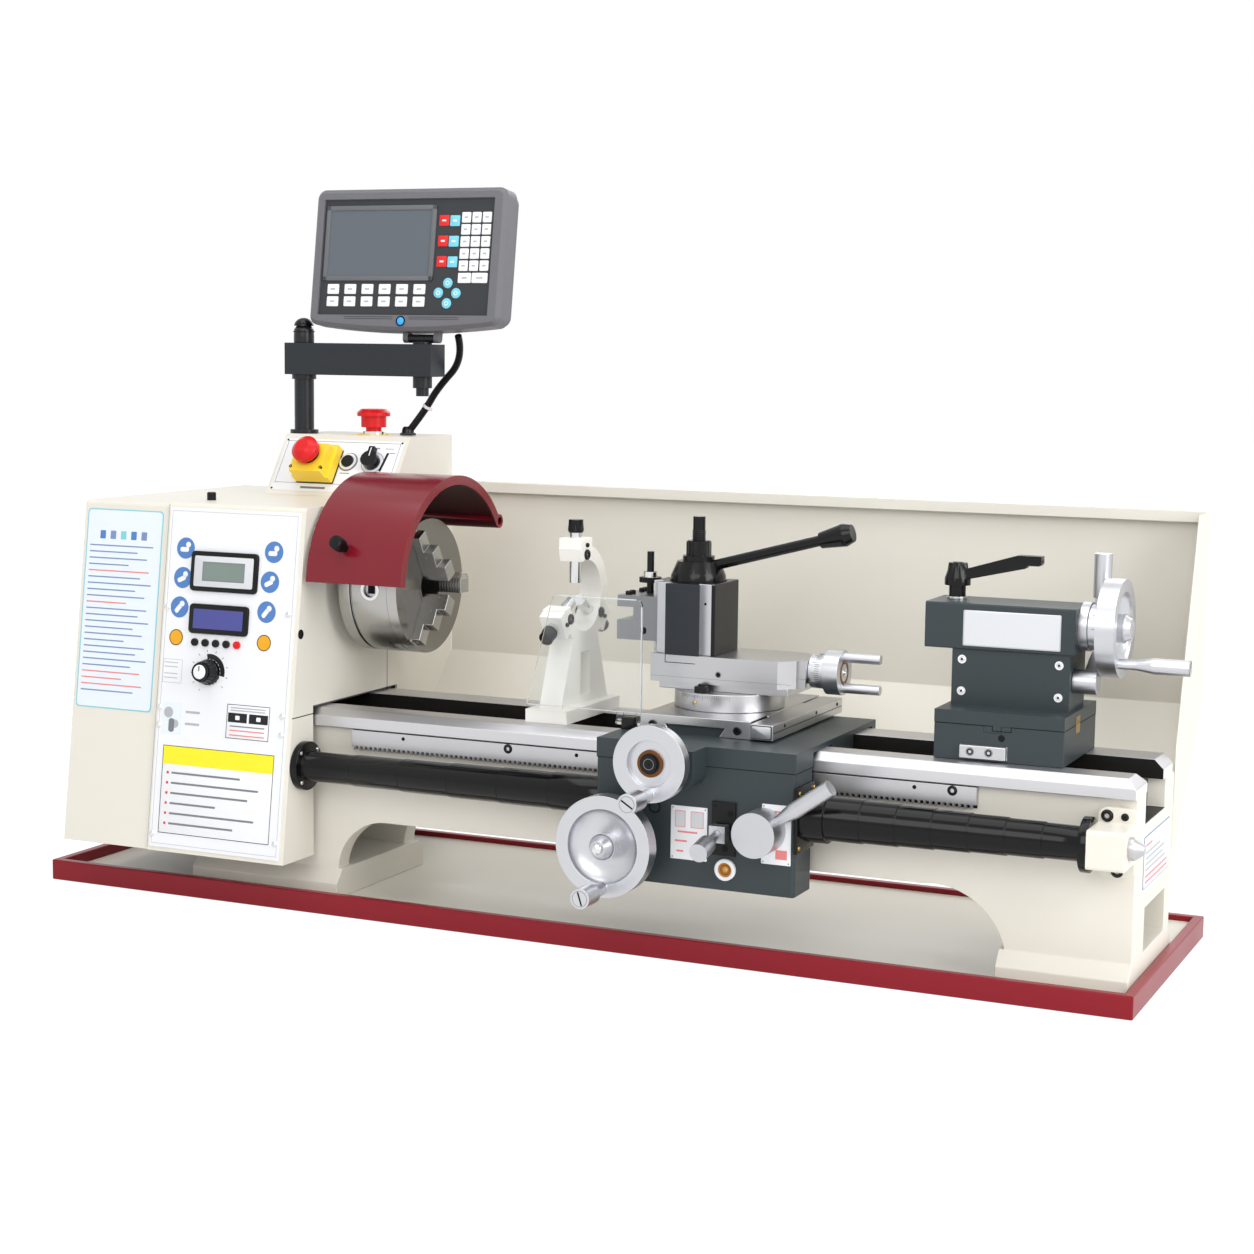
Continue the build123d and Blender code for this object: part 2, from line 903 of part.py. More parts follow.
def spindle_bearings():
    rings = []
    for left in (casting_left, -casing_wall - bearing_width):
        outer = rod((left, 0, spindle_z), (left + bearing_width, 0, spindle_z), bearing_radius)
        bore = spindle_radius + running_fit
        rings.append(outer - rod((left - overrun, 0, spindle_z),
                                 (left + bearing_width + overrun, 0, spindle_z), bore))
    return Compound(children=rings)


def spindle():
    nose_end = nose_left + nose_length
    pulley_right = pulley_left + pulley_width
    outline = [(spindle_bore, spindle_left), (spindle_radius, spindle_left), (spindle_radius, pulley_left),
               (spindle_pulley_radius, pulley_left), (spindle_pulley_radius, pulley_right),
               (pulley_hub, pulley_right), (pulley_hub, pulley_right + pulley_width / 2),
               (spindle_radius, pulley_right + pulley_width / 2), (spindle_radius, nose_left),
               (nose_radius, nose_left), (nose_radius, nose_end), (spindle_bore, nose_end)]
    return turned(outline, (0, 0, spindle_z), (1, 0, 0))


def drive_motor():
    body = rod((motor_left, motor_y, motor_z), (motor_right, motor_y, motor_z), motor_radius)
    middle = (motor_left + motor_right) / 2
    body += block((middle - motor_foot_half, middle + motor_foot_half), (bed_wall_back, motor_y),
                  (motor_z - motor_foot_height / 2, motor_z + motor_foot_height / 2))
    bore = rotor_radius + running_fit
    return body - rod((motor_left - overrun, motor_y, motor_z), (rotor_right, motor_y, motor_z), bore)


def motor_rotor():
    shaft = rod((rotor_left, motor_y, motor_z), (rotor_right - clear_gap, motor_y, motor_z), rotor_radius)
    pulley = rod((pulley_left, motor_y, motor_z), (pulley_left + pulley_width, motor_y, motor_z),
                 motor_pulley_radius)
    return shaft + pulley


def belt_loop(grow, x):
    """The space round both pulleys, grown by a thickness."""
    large = spindle_pulley_radius + grow
    small = motor_pulley_radius + grow
    span = Vector(motor_y, motor_z - spindle_z)
    along = span.normalized()
    across = Vector(-along.Y, along.X)
    slope = (large - small) / span.length
    side = (1 - slope * slope) ** 0.5
    top = Vector(0, spindle_z)
    low = Vector(motor_y, motor_z)
    tangent = [along * slope + across * side, along * slope - across * side]
    corners = [top + tangent[0] * large, low + tangent[0] * small, low + tangent[1] * small,
               top + tangent[1] * large]
    loop = prism_x([(corner.X, corner.Y) for corner in corners], x)
    loop += rod((x[0], 0, spindle_z), (x[1], 0, spindle_z), large)
    return loop + rod((x[0], motor_y, motor_z), (x[1], motor_y, motor_z), small)


def drive_belt():
    ends = (pulley_left + clear_gap, pulley_left + pulley_width - clear_gap)
    outer = belt_loop(clear_gap + belt_thick, ends)
    return outer - belt_loop(clear_gap, (pulley_left - overrun, pulley_left + pulley_width + overrun))


def control_panel():
    plane = panel_plane()
    plate = plane * block((panel_left, panel_right), (panel_low, panel_high), (0, panel_plate))
    upper = ((upper_display_left, upper_display_right), (upper_display_low, upper_display_high))
    lower = ((lower_display_left, lower_display_right), (lower_display_low, lower_display_high))
    for u, v in (upper, lower):
        frame = block(u, v, (0, panel_plate + display_rise))
        frame -= block((u[0] + display_edge, u[1] - display_edge),
                       (v[0] + display_edge, v[1] - display_edge),
                       (panel_plate + display_rise / 2, panel_plate + display_rise * 2))
        plate += plane * frame
    for number in range(push_button_count):
        u = push_button_first + push_button_pitch * number
        plate += disc(plane, u, push_button_v, push_button_radius, 0, panel_plate + push_button_rise)
    return plate - disc(plane, speed_knob_u, speed_knob_v, speed_shaft_radius + running_fit, -overrun,
                        overrun)


def speed_knob():
    low = panel_plate + clear_gap
    flare = [(0, low - speed_shaft_length), (speed_shaft_radius, low - speed_shaft_length),
             (speed_shaft_radius, low),
             (speed_knob_radius, low), (speed_knob_radius, low + speed_knob_height / 4),
             (speed_knob_top_radius, low + speed_knob_height / 3),
             (speed_knob_top_radius, low + speed_knob_height),
             (0, low + speed_knob_height)]
    return panel_plane() * turned(flare, (speed_knob_u, speed_knob_v, 0), (0, 0, 1))


def control_box():
    outline = [(box_front_low, casing_top), (box_front_high, box_top), (casing_back, box_top),
               (casing_back, casing_top)]
    box = prism_x(outline, (box_left, 0))
    plane = box_plane()
    box -= disc(plane, *switch_middle(), switch_stop_neck + clear_gap, -switch_stop_root, overrun)
    box += disc(plane, start_u, start_v, start_ring, 0, start_ring_height)
    box -= disc(plane, start_u, start_v, start_radius + clear_gap, -start_root - overrun,
                start_rise + overrun)
    box -= disc(plane, selector_u, selector_v, selector_shaft + running_fit, -selector_height, overrun)
    neck = (top_stop_x, top_stop_y)
    box += rod((*neck, box_top), (*neck, box_top + top_stop_collar_height), top_stop_collar)
    hole_top = box_top + top_stop_collar_height + overrun
    return box - rod((*neck, box_top - top_stop_root - overrun), (*neck, hole_top),
                     top_stop_neck + clear_gap)


def switch_box():
    u = (switch_left, switch_right)
    v = (switch_low, switch_high)
    lower = block(u, v, (0, switch_height / 2))
    upper = block((u[0] + switch_taper / 2, u[1] - switch_taper / 2), (v[0], v[1] - switch_taper),
                  (switch_height / 2, switch_height))
    middle = switch_middle()
    box = lower + upper - rod((*middle, -overrun), (*middle, switch_height + overrun),
                              switch_stop_neck + clear_gap)
    return box_plane() * box


def mushroom(neck, root, gap, head_radius, head):
    """A stop button's profile above its housing: neck, then a domed head."""
    return [(0, -root), (neck, -root), (neck, gap), (head_radius, gap), (head_radius, gap + head / 2),
            (head_radius - head / 4, gap + head * 3 / 4), (head_radius / 2, gap + head), (0, gap + head)]


def switch_stop_button():
    outline = mushroom(switch_stop_neck, switch_stop_root, switch_stop_gap, switch_stop_radius,
                       switch_stop_head)
    return box_plane() * turned(outline, (*switch_middle(), switch_height), (0, 0, 1))


def top_stop_button():
    drum = top_stop_gap + top_stop_drum
    outline = [(0, -top_stop_root), (top_stop_neck, -top_stop_root), (top_stop_neck, top_stop_gap),
               (top_stop_drum_radius, top_stop_gap), (top_stop_drum_radius, drum),
               (top_stop_head_radius, drum),
               (top_stop_head_radius, drum + top_stop_head / 2),
               (top_stop_drum_radius, drum + top_stop_head),
               (0, drum + top_stop_head)]
    return turned(outline, (top_stop_x, top_stop_y, box_top + top_stop_collar_height), (0, 0, 1))


def start_button():
    return disc(box_plane(), start_u, start_v, start_radius, -start_root, start_rise)


def selector_knob():
    low = start_ring_height / 2
    knob = rod((0, 0, low), (0, 0, low + selector_height), selector_radius)
    half = selector_shaft
    knob += block((-half, half), (0, selector_pointer), (low + selector_height / 3, low + selector_height))
    knob += rod((0, 0, clear_gap - selector_height), (0, 0, low), selector_shaft)
    return box_plane() * (Pos(selector_u, selector_v, 0) * knob)


def readout_column():
    low = box_top
    arm_top = arm_bottom + arm_height
    cap = arm_top + clear_gap
    outline = [(0, low), (column_flange_radius, low), (column_flange_radius, low + column_flange),
               (column_radius, low + column_flange), (column_radius, arm_bottom - column_collar),
               (column_collar_radius, arm_bottom - column_collar), (column_collar_radius, arm_bottom),
               (column_radius, arm_bottom), (column_radius, cap), (column_cap_radius, cap),
               (column_cap_radius, cap + column_cap / 3), (column_radius, cap + column_cap * 2 / 3),
               (column_radius / 2, cap + column_cap), (0, cap + column_cap)]
    return turned(outline, (column_x, column_y, 0), (0, 0, 1))


def readout_arm():
    half = arm_width / 2
    arm = block((arm_left, arm_right), (column_y - half, column_y + half),
                (arm_bottom, arm_bottom + arm_height))
    for x, radius in ((column_x, column_radius), (stem_x, stem_radius)):
        arm -= rod((x, column_y, arm_bottom - overrun), (x, column_y, arm_bottom + arm_height + overrun),
                   radius + running_fit)
    return arm


def tilt_axis():
    """Where the readout tilts, above the arm on the stem."""
    return Vector(stem_x, column_y, arm_bottom + arm_height + knuckle_rise)


def readout_stem():
    arm_top = arm_bottom + arm_height
    nut_top = arm_bottom - clear_gap
    outline = [(0, nut_top - stem_nut - stem_tail), (stem_radius, nut_top - stem_nut - stem_tail),
               (stem_radius, nut_top - stem_nut), (stem_nut_radius, nut_top - stem_nut),
               (stem_nut_radius, nut_top),
               (stem_radius, nut_top), (stem_radius, arm_top), (stem_nut_radius, arm_top),
               (stem_nut_radius, arm_top + stem_collar), (stem_radius, arm_top + stem_collar),
               (stem_radius / 2, arm_top + knuckle_rise), (0, arm_top + knuckle_rise)]
    stem = turned(outline, (stem_x, column_y, 0), (0, 0, 1))
    half = knuckle_length / 2
    knuckle = rod((-half, 0, 0), (half, 0, 0), knuckle_radius)
    bore = rod((-half - overrun, 0, 0), (half + overrun, 0, 0), tilt_pin_radius + running_fit)
    place = Pos(tilt_axis()) * Rot(0, 0, housing_yaw)
    return stem + place * knuckle - place * bore


def housing_shell(inset, front, back):
    """One half of the moulded housing: rounded corners and a belly that sags below."""
    left = housing_left + inset
    right = housing_right - inset
    low = housing_shoulder + inset
    high = housing_top - inset
    at = [(left, front, low), (right, front, low), (right, front, high), (left, front, high)]
    sag = ((left + right) / 2, front, housing_belly + inset)
    edges = [ThreePointArc(at[0], sag, at[1]), Line(at[1], at[2]), Line(at[2], at[3]), Line(at[3], at[0])]
    shell = extrude(make_face(edges), amount=back - front, dir=(0, 1, 0))
    return fillet(shell.edges().filter_by(Axis.Y), housing_corner)


def readout_housing():
    front = housing_front
    body = chamfer(housing_shell(0, front, housing_split).edges().group_by(Axis.Y)[0], housing_edge)
    rear = housing_shell(housing_step, housing_split, housing_back)
    body += chamfer(rear.edges().group_by(Axis.Y)[-1], housing_edge)
    body -= block((face_left, face_right), (front - overrun, front + face_recess), (face_low, face_high))
    body += block((housing_left + back_hump_inset, housing_right - back_hump_inset),
                  (housing_back, housing_back + back_hump),
                  (housing_shoulder + back_hump_inset, housing_top - back_hump_inset))
    half = knuckle_length / 2 + clear_gap
    ears = [(-half - ear_thick, -half), (half, half + ear_thick)]
    for x in ears:
        body += rod((x[0], 0, 0), (x[1], 0, 0), knuckle_radius)
        body += block(x, (-knuckle_radius, knuckle_radius), (0, housing_shoulder))
    body += rod((ears[0][0], 0, 0), (ears[1][1], 0, 0), tilt_pin_radius)
    return Pos(tilt_axis()) * Rot(0, 0, housing_yaw) * Rot(housing_lean, 0, 0) * body


def cable_bends(route):
    """The largest tangent arc that each corner's two runs leave room for."""
    radii = []
    for before, here, after in zip(route, route[1:], route[2:]):
        run_in = Vector(*here) - Vector(*before)
        run_out = Vector(*after) - Vector(*here)
        half_turn = radians(run_in.get_angle(run_out)) / 2
        radii.append(0.45 * min(run_in.length, run_out.length) / tan(half_turn))
    return radii


def readout_cable():
    radii = cable_bends(cable_route)
    print("cable bend radii", [round(radius, 1) for radius in radii])
    path = FilletPolyline(*cable_route, radius=radii)
    section = Plane(origin=path @ 0, z_dir=path % 0) * Circle(cable_radius)
    return sweep(section, path)


def chuck_back_plate():
    left = nose_left + nose_length
    outline = [(spindle_bore, left), (chuck_radius, left),
               (chuck_radius, left + back_plate_length - chuck_groove),
               (chuck_radius - chuck_groove, left + back_plate_length - chuck_groove),
               (chuck_radius - chuck_groove, left + back_plate_length),
               (spindle_bore, left + back_plate_length)]
    return turned(outline, (0, 0, spindle_z), (1, 0, 0))


def chuck_ends():
    left = nose_left + nose_length + back_plate_length
    return left, left + chuck_length


def about_spindle(shape, angle):
    """The shape turned round the spindle axis."""
    return Pos(0, 0, spindle_z) * Rot(angle, 0, 0) * Pos(0, 0, -spindle_z) * shape


def chuck_body():
    left, right = chuck_ends()
    body = rod((left, 0, spindle_z), (right, 0, spindle_z), chuck_radius)
    body -= rod((left - overrun, 0, spindle_z), (right + overrun, 0, spindle_z), chuck_bore)
    half = jaw_width / 2 + clear_gap
    slot = block((right - jaw_root - clear_gap, right + overrun), (0, chuck_radius + overrun),
                 (spindle_z - half, spindle_z + half))
    socket_x = left + chuck_length * key_socket_x_share
    socket = rod((socket_x, chuck_radius - key_socket_depth, spindle_z),
                 (socket_x, chuck_radius + overrun, spindle_z), key_socket_radius)
    step = 360 / jaw_count
    for number in range(jaw_count):
        body -= about_spindle(slot, step * number)
        body -= about_spindle(socket, step * (number + 1 / 2))
    return body


def chuck_jaw(number):
    right = chuck_ends()[1]
    low = right - jaw_root
    outline = [(low, jaw_inner), (low, jaw_outer), (right, jaw_outer)]
    outline.append((right, jaw_inner + jaw_step * len(jaw_rise_shares)))
    for index, share in reversed(list(enumerate(jaw_rise_shares))):
        outline.append((right + jaw_rise * share, jaw_inner + jaw_step * (index + 1)))
        outline.append((right + jaw_rise * share, jaw_inner + jaw_step * index))
    half = jaw_width / 2
    jaw = prism_z(outline, (spindle_z - half, spindle_z + half))
    return about_spindle(jaw, 360 / jaw_count * number)


def chuck_guard():
    right = guard_left + guard_length
    inner = guard_radius - guard_sheet
    corners = [(guard_left, inner), (right - guard_sheet, inner),
               (right - guard_sheet, guard_radius - guard_lip),
               (right, guard_radius - guard_lip), (right, guard_radius), (guard_left, guard_radius)]
    face = make_face(Polyline(*[radial(guard_rear_angle, r, x) for x, r in corners], close=True))
    shell = revolve(face, Axis((0, 0, spindle_z), (1, 0, 0)), guard_front_angle - guard_rear_angle)
    y, z = hinge_line()
    ends = (guard_left, right)
    shell += rod((ends[0], y, z), (ends[1], y, z), hinge_tube_radius)
    neck_end = guard_radius + guard_knob_neck_length
    at = [radial(guard_knob_angle, r, guard_knob_x)
          for r in (guard_radius - guard_sheet, neck_end, neck_end + guard_knob_length)]
    shell += rod(at[0], at[1], guard_knob_neck) + rod(at[1], at[2], guard_knob_radius)
    bore = hinge_bar_radius + running_fit
    return shell - rod((ends[0] - overrun, y, z), (ends[1] + overrun, y, z), bore)


def lead_screw():
    outline = [(0, screw_left), (screw_radius, screw_left), (screw_radius, bracket_right + slide_gap),
               (screw_cap_radius, bracket_right + slide_gap),
               (screw_cap_radius, bracket_right + screw_cap / 3),
               (screw_cap_tip, bracket_right + screw_cap), (0, bracket_right + screw_cap)]
    return turned(outline, (0, screw_y, screw_z), (1, 0, 0))


def cover_steps(count, first, step, left, right):
    """Telescoping barrels between two ends, each wider or slimmer by a step."""
    length = (right - left) / count
    outline = []
    for number in range(count):
        radius = first + step * number
        outline.append((radius, left + length * number))
        outline.append((radius, left + length * (number + 1)))
    return outline


def screw_cover_left():
    end = carriage_left - clear_gap
    outline = [(cover_bore, 0), (cover_flange_radius, 0), (cover_flange_radius, cover_flange)]
    outline += cover_steps(left_cover_count, left_cover_radius, left_cover_step, cover_flange, end)
    outline.append((cover_bore, end))
    return turned(outline, (0, screw_y, screw_z), (1, 0, 0))


def screw_cover_right():
    start = carriage_right + clear_gap
    cup = start + cover_plate
    barrels = cup + cover_cup
    flange = bracket_left - cover_flange
    outline = [(cover_bore, start), (cover_cup_radius, start), (cover_cup_radius, barrels)]
    outline += cover_steps(right_cover_count, right_cover_radius, right_cover_step, barrels, flange)
    outline += [(cover_flange_radius, flange), (cover_flange_radius, bracket_left),
                (cover_bore, bracket_left)]
    cover = turned(outline, (0, screw_y, screw_z), (1, 0, 0))
    plate = block((start, cup), (apron_back - cover_plate_half * 2 + overrun, apron_back - overrun),
                  (screw_z - cover_plate_half_height, screw_z + cover_plate_half_height))
    return cover + plate - rod((start - overrun, screw_y, screw_z), (cup + overrun, screw_y, screw_z),
                               cover_bore)


def screw_bracket():
    face = bed_wall_front - bracket_plate
    plate = block((bracket_left, bracket_right), (face, bed_wall_front), (bracket_low, bracket_high))
    plate = fillet(plate.edges().filter_by(Axis.Y), bracket_corner)
    boss = block((bracket_left, bracket_right), (bracket_front, face + overrun),
                 (screw_z - bracket_boss_half, screw_z + bracket_boss_half))
    boss = fillet(boss.edges().filter_by(Axis.X).group_by(Axis.Y)[0], bracket_round)
    return plate + boss - rod((bracket_left - overrun, screw_y, screw_z),
                              (bracket_right + overrun, screw_y, screw_z),
                              screw_radius + running_fit)


def gear_rack():
    low = rack_top - rack_depth
    outline = [(rack_left, rack_top), (rack_left, low)]
    for number in range(int((rack_right - rack_left) / rack_pitch)):
        x = rack_left + rack_pitch * number
        outline += [(x + rack_pitch / 4, low), (x + rack_pitch * 2 / 5, low - rack_tooth),
                    (x + rack_pitch * 3 / 5, low - rack_tooth), (x + rack_pitch * 17 / 20, low)]
    outline += [(rack_right, low), (rack_right, rack_top)]
    return prism_y(outline, (bed_wall_front - rack_thick, bed_wall_front))


def saddle():
    rest = way_top + slide_gap
    skirt_front = saddle_back - saddle_skirt
    outline = [(apron_front, apron_top), (apron_front, saddle_top), (saddle_back, saddle_top),
               (saddle_back, saddle_top - saddle_skirt_drop), (skirt_front, saddle_top - saddle_skirt_drop),
               (skirt_front, rest), (bridge_back, rest), (bridge_back, bridge_bottom),
               (bridge_front, bridge_bottom), (bridge_front, rest), (apron_back, rest),
               (apron_back, apron_top)]
    casting = prism_x(outline, (carriage_left, carriage_right))
    casting += prism_y(dovetail_outline(0), (dovetail_front, dovetail_back))
    boss = block((cross_x - boss_half_width, cross_x + boss_half_width),
                 (apron_front - boss_length, apron_front),
                 (boss_low, saddle_top))
    lower = [edge for edge in boss.edges().filter_by(Axis.Y) if edge.center().Z < cross_screw_z]
    casting += fillet(lower, boss_corner)
    bracket = block((shield_bracket_left, shield_bracket_right),
                    (shield_y - shield_bracket_half, shield_y + shield_bracket_half),
                    (saddle_top, shield_bracket_top))
    upper = [edge for edge in bracket.edges().filter_by(Axis.X) if edge.center().Z > shield_pin_z]
    casting += fillet(upper, shield_bracket_half / 2)
    casting -= rod((shield_bracket_left - overrun, shield_y, shield_pin_z),
                   (shield_bracket_right + overrun, shield_y, shield_pin_z), shield_pin_radius + running_fit)
    hole = cross_shaft_radius + running_fit
    boss_face = apron_front - boss_length
    return casting - rod((cross_x, boss_face - overrun, cross_screw_z),
                         (cross_x, boss_face + cross_shaft_depth, cross_screw_z), hole)


def dovetail_outline(gap):
    """The cross slide's dovetail in X and Z, grown by a gap."""
    root = dovetail_root_half + gap
    top = dovetail_top_half + gap
    high = saddle_top + dovetail_height + gap
    return [(cross_x - root, saddle_top), (cross_x + root, saddle_top), (cross_x + top, high),
            (cross_x - top, high)]


def apron():
    body = block((carriage_left, carriage_right), (apron_front, apron_back), (apron_bottom, apron_top))
    body = fillet(body.edges().filter_by(Axis.Z), apron_corner)
    body -= rod((carriage_left - overrun, screw_y, screw_z), (carriage_right + overrun, screw_y, screw_z),
                cover_bore)
    body += block((feed_x - feed_plate_left, feed_x + feed_plate_right),
                  (apron_front - feed_plate_thick, apron_front),
                  (feed_z - feed_plate_low, feed_z + feed_plate_high))
    front = (0, -1, 0)
    sight = [(0, 0), (sight_radius, 0), (sight_radius, sight_rise), (sight_glass, sight_rise),
             (sight_glass, sight_rise - sight_glass_depth), (0, sight_rise - sight_glass_depth)]
    body += turned(sight, (sight_x, apron_front, sight_z), front)
    holes = [(apron_shaft_x, apron_shaft_z, apron_shaft_radius, apron_shaft_depth),
             (half_nut_x, half_nut_z, half_nut_shaft, half_nut_depth)]
    for x, z, radius, depth in holes:
        body -= rod((x, apron_front - overrun, z), (x, apron_front + depth, z), radius + running_fit)
    half = feed_rod + clear_gap
    pivot_y = apron_front + feed_pivot_depth
    body -= block((feed_x - half, feed_x + half), (apron_front - overrun, pivot_y),
                  (feed_z - feed_slot_half, feed_z + feed_slot_half))
    half = feed_pivot_half + clear_gap
    return body - rod((feed_x - half, pivot_y, feed_z), (feed_x + half, pivot_y, feed_z),
                      feed_pivot_radius + running_fit)


def apron_handwheel():
    width = apron_wheel_back - apron_wheel_front
    reach = apron_front + apron_shaft_depth - apron_wheel_back - clear_gap
    wheel = dished_wheel((apron_shaft_x, apron_wheel_back, apron_shaft_z), (0, -1, 0), apron_wheel_radius,
                         width,
                         apron_wheel_hub, apron_wheel_nose, apron_shaft_radius, reach)
    at = (apron_shaft_x, apron_wheel_front, apron_shaft_z - apron_grip_drop)
    return wheel + grip(at, (0, -1, 0), grip_length, grip_neck, grip_head)


def cross_handwheel():
    boss_face = apron_front - boss_length
    width = cross_wheel_back - cross_wheel_front
    root = cross_wheel_back - boss_face - cross_shaft_depth + clear_gap
    dial = cross_wheel_back - boss_face + clear_gap
    floor = width - cross_recess
    ring = floor + cross_ring_rise
    outline = [(0, root), (cross_shaft_radius, root), (cross_shaft_radius, dial), (cross_dial_radius, dial),
               (cross_dial_radius, 0), (cross_wheel_radius, 0), (cross_wheel_radius, width),
               (cross_rim, width),
               (cross_rim, floor), (cross_ring, floor), (cross_ring, ring), (cross_bolt, ring),
               (cross_bolt, width),
               (0, width)]
    wheel = turned(outline, (cross_x, cross_wheel_back, cross_screw_z), (0, -1, 0))
    at = (cross_x, cross_wheel_front, cross_screw_z - cross_grip_drop)
    return wheel + grip(at, (0, -1, 0), grip_length, grip_neck, grip_head)


def feed_lever():
    front = apron_front - feed_plate_thick - feed_stand_off
    pivot_y = apron_front + feed_pivot_depth
    lever = block((feed_x - feed_block, feed_x + feed_block), (front - feed_block_length, front),
                  (feed_z - feed_block, feed_z + feed_block))
    lever += rod((feed_x - feed_pivot_half, pivot_y, feed_z), (feed_x + feed_pivot_half, pivot_y, feed_z),
                 feed_pivot_radius)
    lever += rod((feed_x, pivot_y, feed_z), (feed_x, front, feed_z), feed_rod)
    rod_end = front - feed_block_length - feed_rod_length
    ball_end = rod_end - feed_ball_length
    drop = feed_rod_drop / 2
    lever += rod((feed_x, front - feed_block_length, feed_z), (feed_x, rod_end, feed_z + drop), feed_rod)
    return lever + rod((feed_x, rod_end, feed_z + drop), (feed_x, ball_end, feed_z + feed_rod_drop),
                       feed_ball)


def half_nut_lever():
    front = apron_front - clear_gap
    outer = front - half_nut_length
    lever = rod((half_nut_x, front, half_nut_z), (half_nut_x, outer, half_nut_z), half_nut_radius)
    lever += rod((half_nut_x, apron_front + half_nut_depth - clear_gap, half_nut_z),
                 (half_nut_x, front, half_nut_z),
                 half_nut_shaft)
    turn = radians(half_nut_angle)
    along = (cos(turn), 0, sin(turn))
    middle = (half_nut_x, (front + outer) / 2, half_nut_z)
    return lever + grip(middle, along, half_nut_bar, half_nut_bar_neck, half_nut_bar_head)


def cross_slide():
    x = (cross_x - cross_slide_half, cross_x + cross_slide_half)
    rest = saddle_top + slide_gap
    slide = block(x, (cross_slide_front, cross_slide_back), (rest, cross_slide_top))
    slide -= prism_y(dovetail_outline(slide_gap), (cross_slide_front - overrun, cross_slide_back + overrun))
    bar_left = x[1] + scale_bar_gap
    slide += block((bar_left, bar_left + scale_bar_width), (scale_bar_front, cross_slide_back),
                   (scale_bar_low, scale_bar_high))
    return slide + block((x[1], bar_left), (cross_slide_front / 2, cross_slide_back / 2),
                         (scale_bar_low, scale_bar_high))


def compound_outline(gap):
    """The top slide's dovetail in Y and Z, grown by a gap."""
    root = compound_dovetail_root + gap
    top = compound_dovetail_top + gap
    high = compound_plate_top + compound_dovetail + gap
    return [(-root, compound_plate_top), (root, compound_plate_top), (top, high), (-top, high)]


def compound_base():
    base = rod((cross_x, 0, cross_slide_top + slide_gap), (cross_x, 0, swivel_top), swivel_radius)
    x = (compound_left, compound_right)
    base += block(x, (-compound_half, compound_half), (swivel_top, compound_plate_top))
    return base + prism_x(compound_outline(0), x)


def top_slide():
    left, right, half = top_slide_left, top_slide_right, top_slide_half
    cut = top_slide_chamfer
    plan = [(left, -half), (right - cut, -half), (right, cut - half), (right, half - cut),
            (right - cut, half),
            (left, half)]
    slide = prism_z(plan, (compound_plate_top + slide_gap, top_slide_top))
    end = right + end_block
    slide += block((right, end), (-end_block_half, end_block_half),
                   (compound_plate_top + slide_gap, top_slide_top))
    slide -= prism_x(compound_outline(slide_gap), (left - overrun, right + end_block + overrun))
    return slide - rod((end - top_shaft_depth, 0, top_screw_z), (end + overrun, 0, top_screw_z),
                       top_shaft_radius + running_fit)


def top_slide_wheel():
    base = top_slide_right + end_block
    dial = clear_gap + top_dial
    wheel = dial + top_wheel_groove
    outline = [(0, clear_gap * 2 - top_shaft_depth), (top_shaft_radius, clear_gap * 2 - top_shaft_depth),
               (top_shaft_radius, clear_gap), (top_dial_radius, clear_gap), (top_dial_radius, dial),
               (top_dial_radius - top_wheel_groove, dial), (top_dial_radius - top_wheel_groove, wheel),
               (top_wheel_radius, wheel), (top_wheel_radius, wheel + top_wheel), (0, wheel + top_wheel)]
    knob = turned(outline, (base, 0, top_screw_z), (1, 0, 0))
    for side in (-1, 1):
        z = top_screw_z + top_handle_offset * side
        start = base + wheel + top_wheel
        knob += rod((start, 0, z), (start + top_handle_length, 0, z), top_handle_radius)
    return knob


def post_dovetail_outline(gap, axis_place, face, outward):
    """A vertical dovetail: pairs of (across, out) from the post's face, grown by a gap."""
    root = post_dovetail_root + gap
    top = post_dovetail_top + gap
    out = face + outward * (post_dovetail + gap)
    return [(axis_place - root, face), (axis_place + root, face), (axis_place + top, out),
            (axis_place - top, out)]


def tool_post():
    z = (top_slide_top, post_top)
    post = block((post_x - post_half, post_x + post_half), (post_y - post_half, post_y + post_half), z)
    post += prism_z(post_dovetail_outline(0, post_x, post_y - post_half, -1), z)
    side = [(x, y) for y, x in post_dovetail_outline(0, post_y, post_x - post_half, -1)]
    return post + prism_z(side, z)


def tool_post_lever():
    low = clear_gap
    cam = low + cam_height
    collar = cam + cam_collar
    nut = collar + post_nut
    outline = [(0, low), (cam_radius, low), (cam_radius, low + cam_base), (cam_top_radius, cam),
               (cam_collar_radius, cam), (cam_collar_radius, collar), (post_nut_radius, collar),
               (post_nut_radius, nut), (post_stud_radius, nut), (post_stud_radius, nut + post_stud),
               (0, nut + post_stud)]
    lever = turned(outline, (post_x, post_y, post_top), (0, 0, 1))
    turn = radians(lever_angle)
    along = Vector(cos(turn), 0, sin(turn))
    start = Vector(post_x, post_y, post_top + lever_height)
    end = start + along * lever_length
    lever += rod(start, end, lever_radius)
    knob = [(0, 0), (lever_grip_neck, 0), (lever_grip_head, lever_grip * 3 / 4),
            (lever_grip_head * 3 / 4, lever_grip), (0, lever_grip)]
    return lever + turned(knob, end, along)


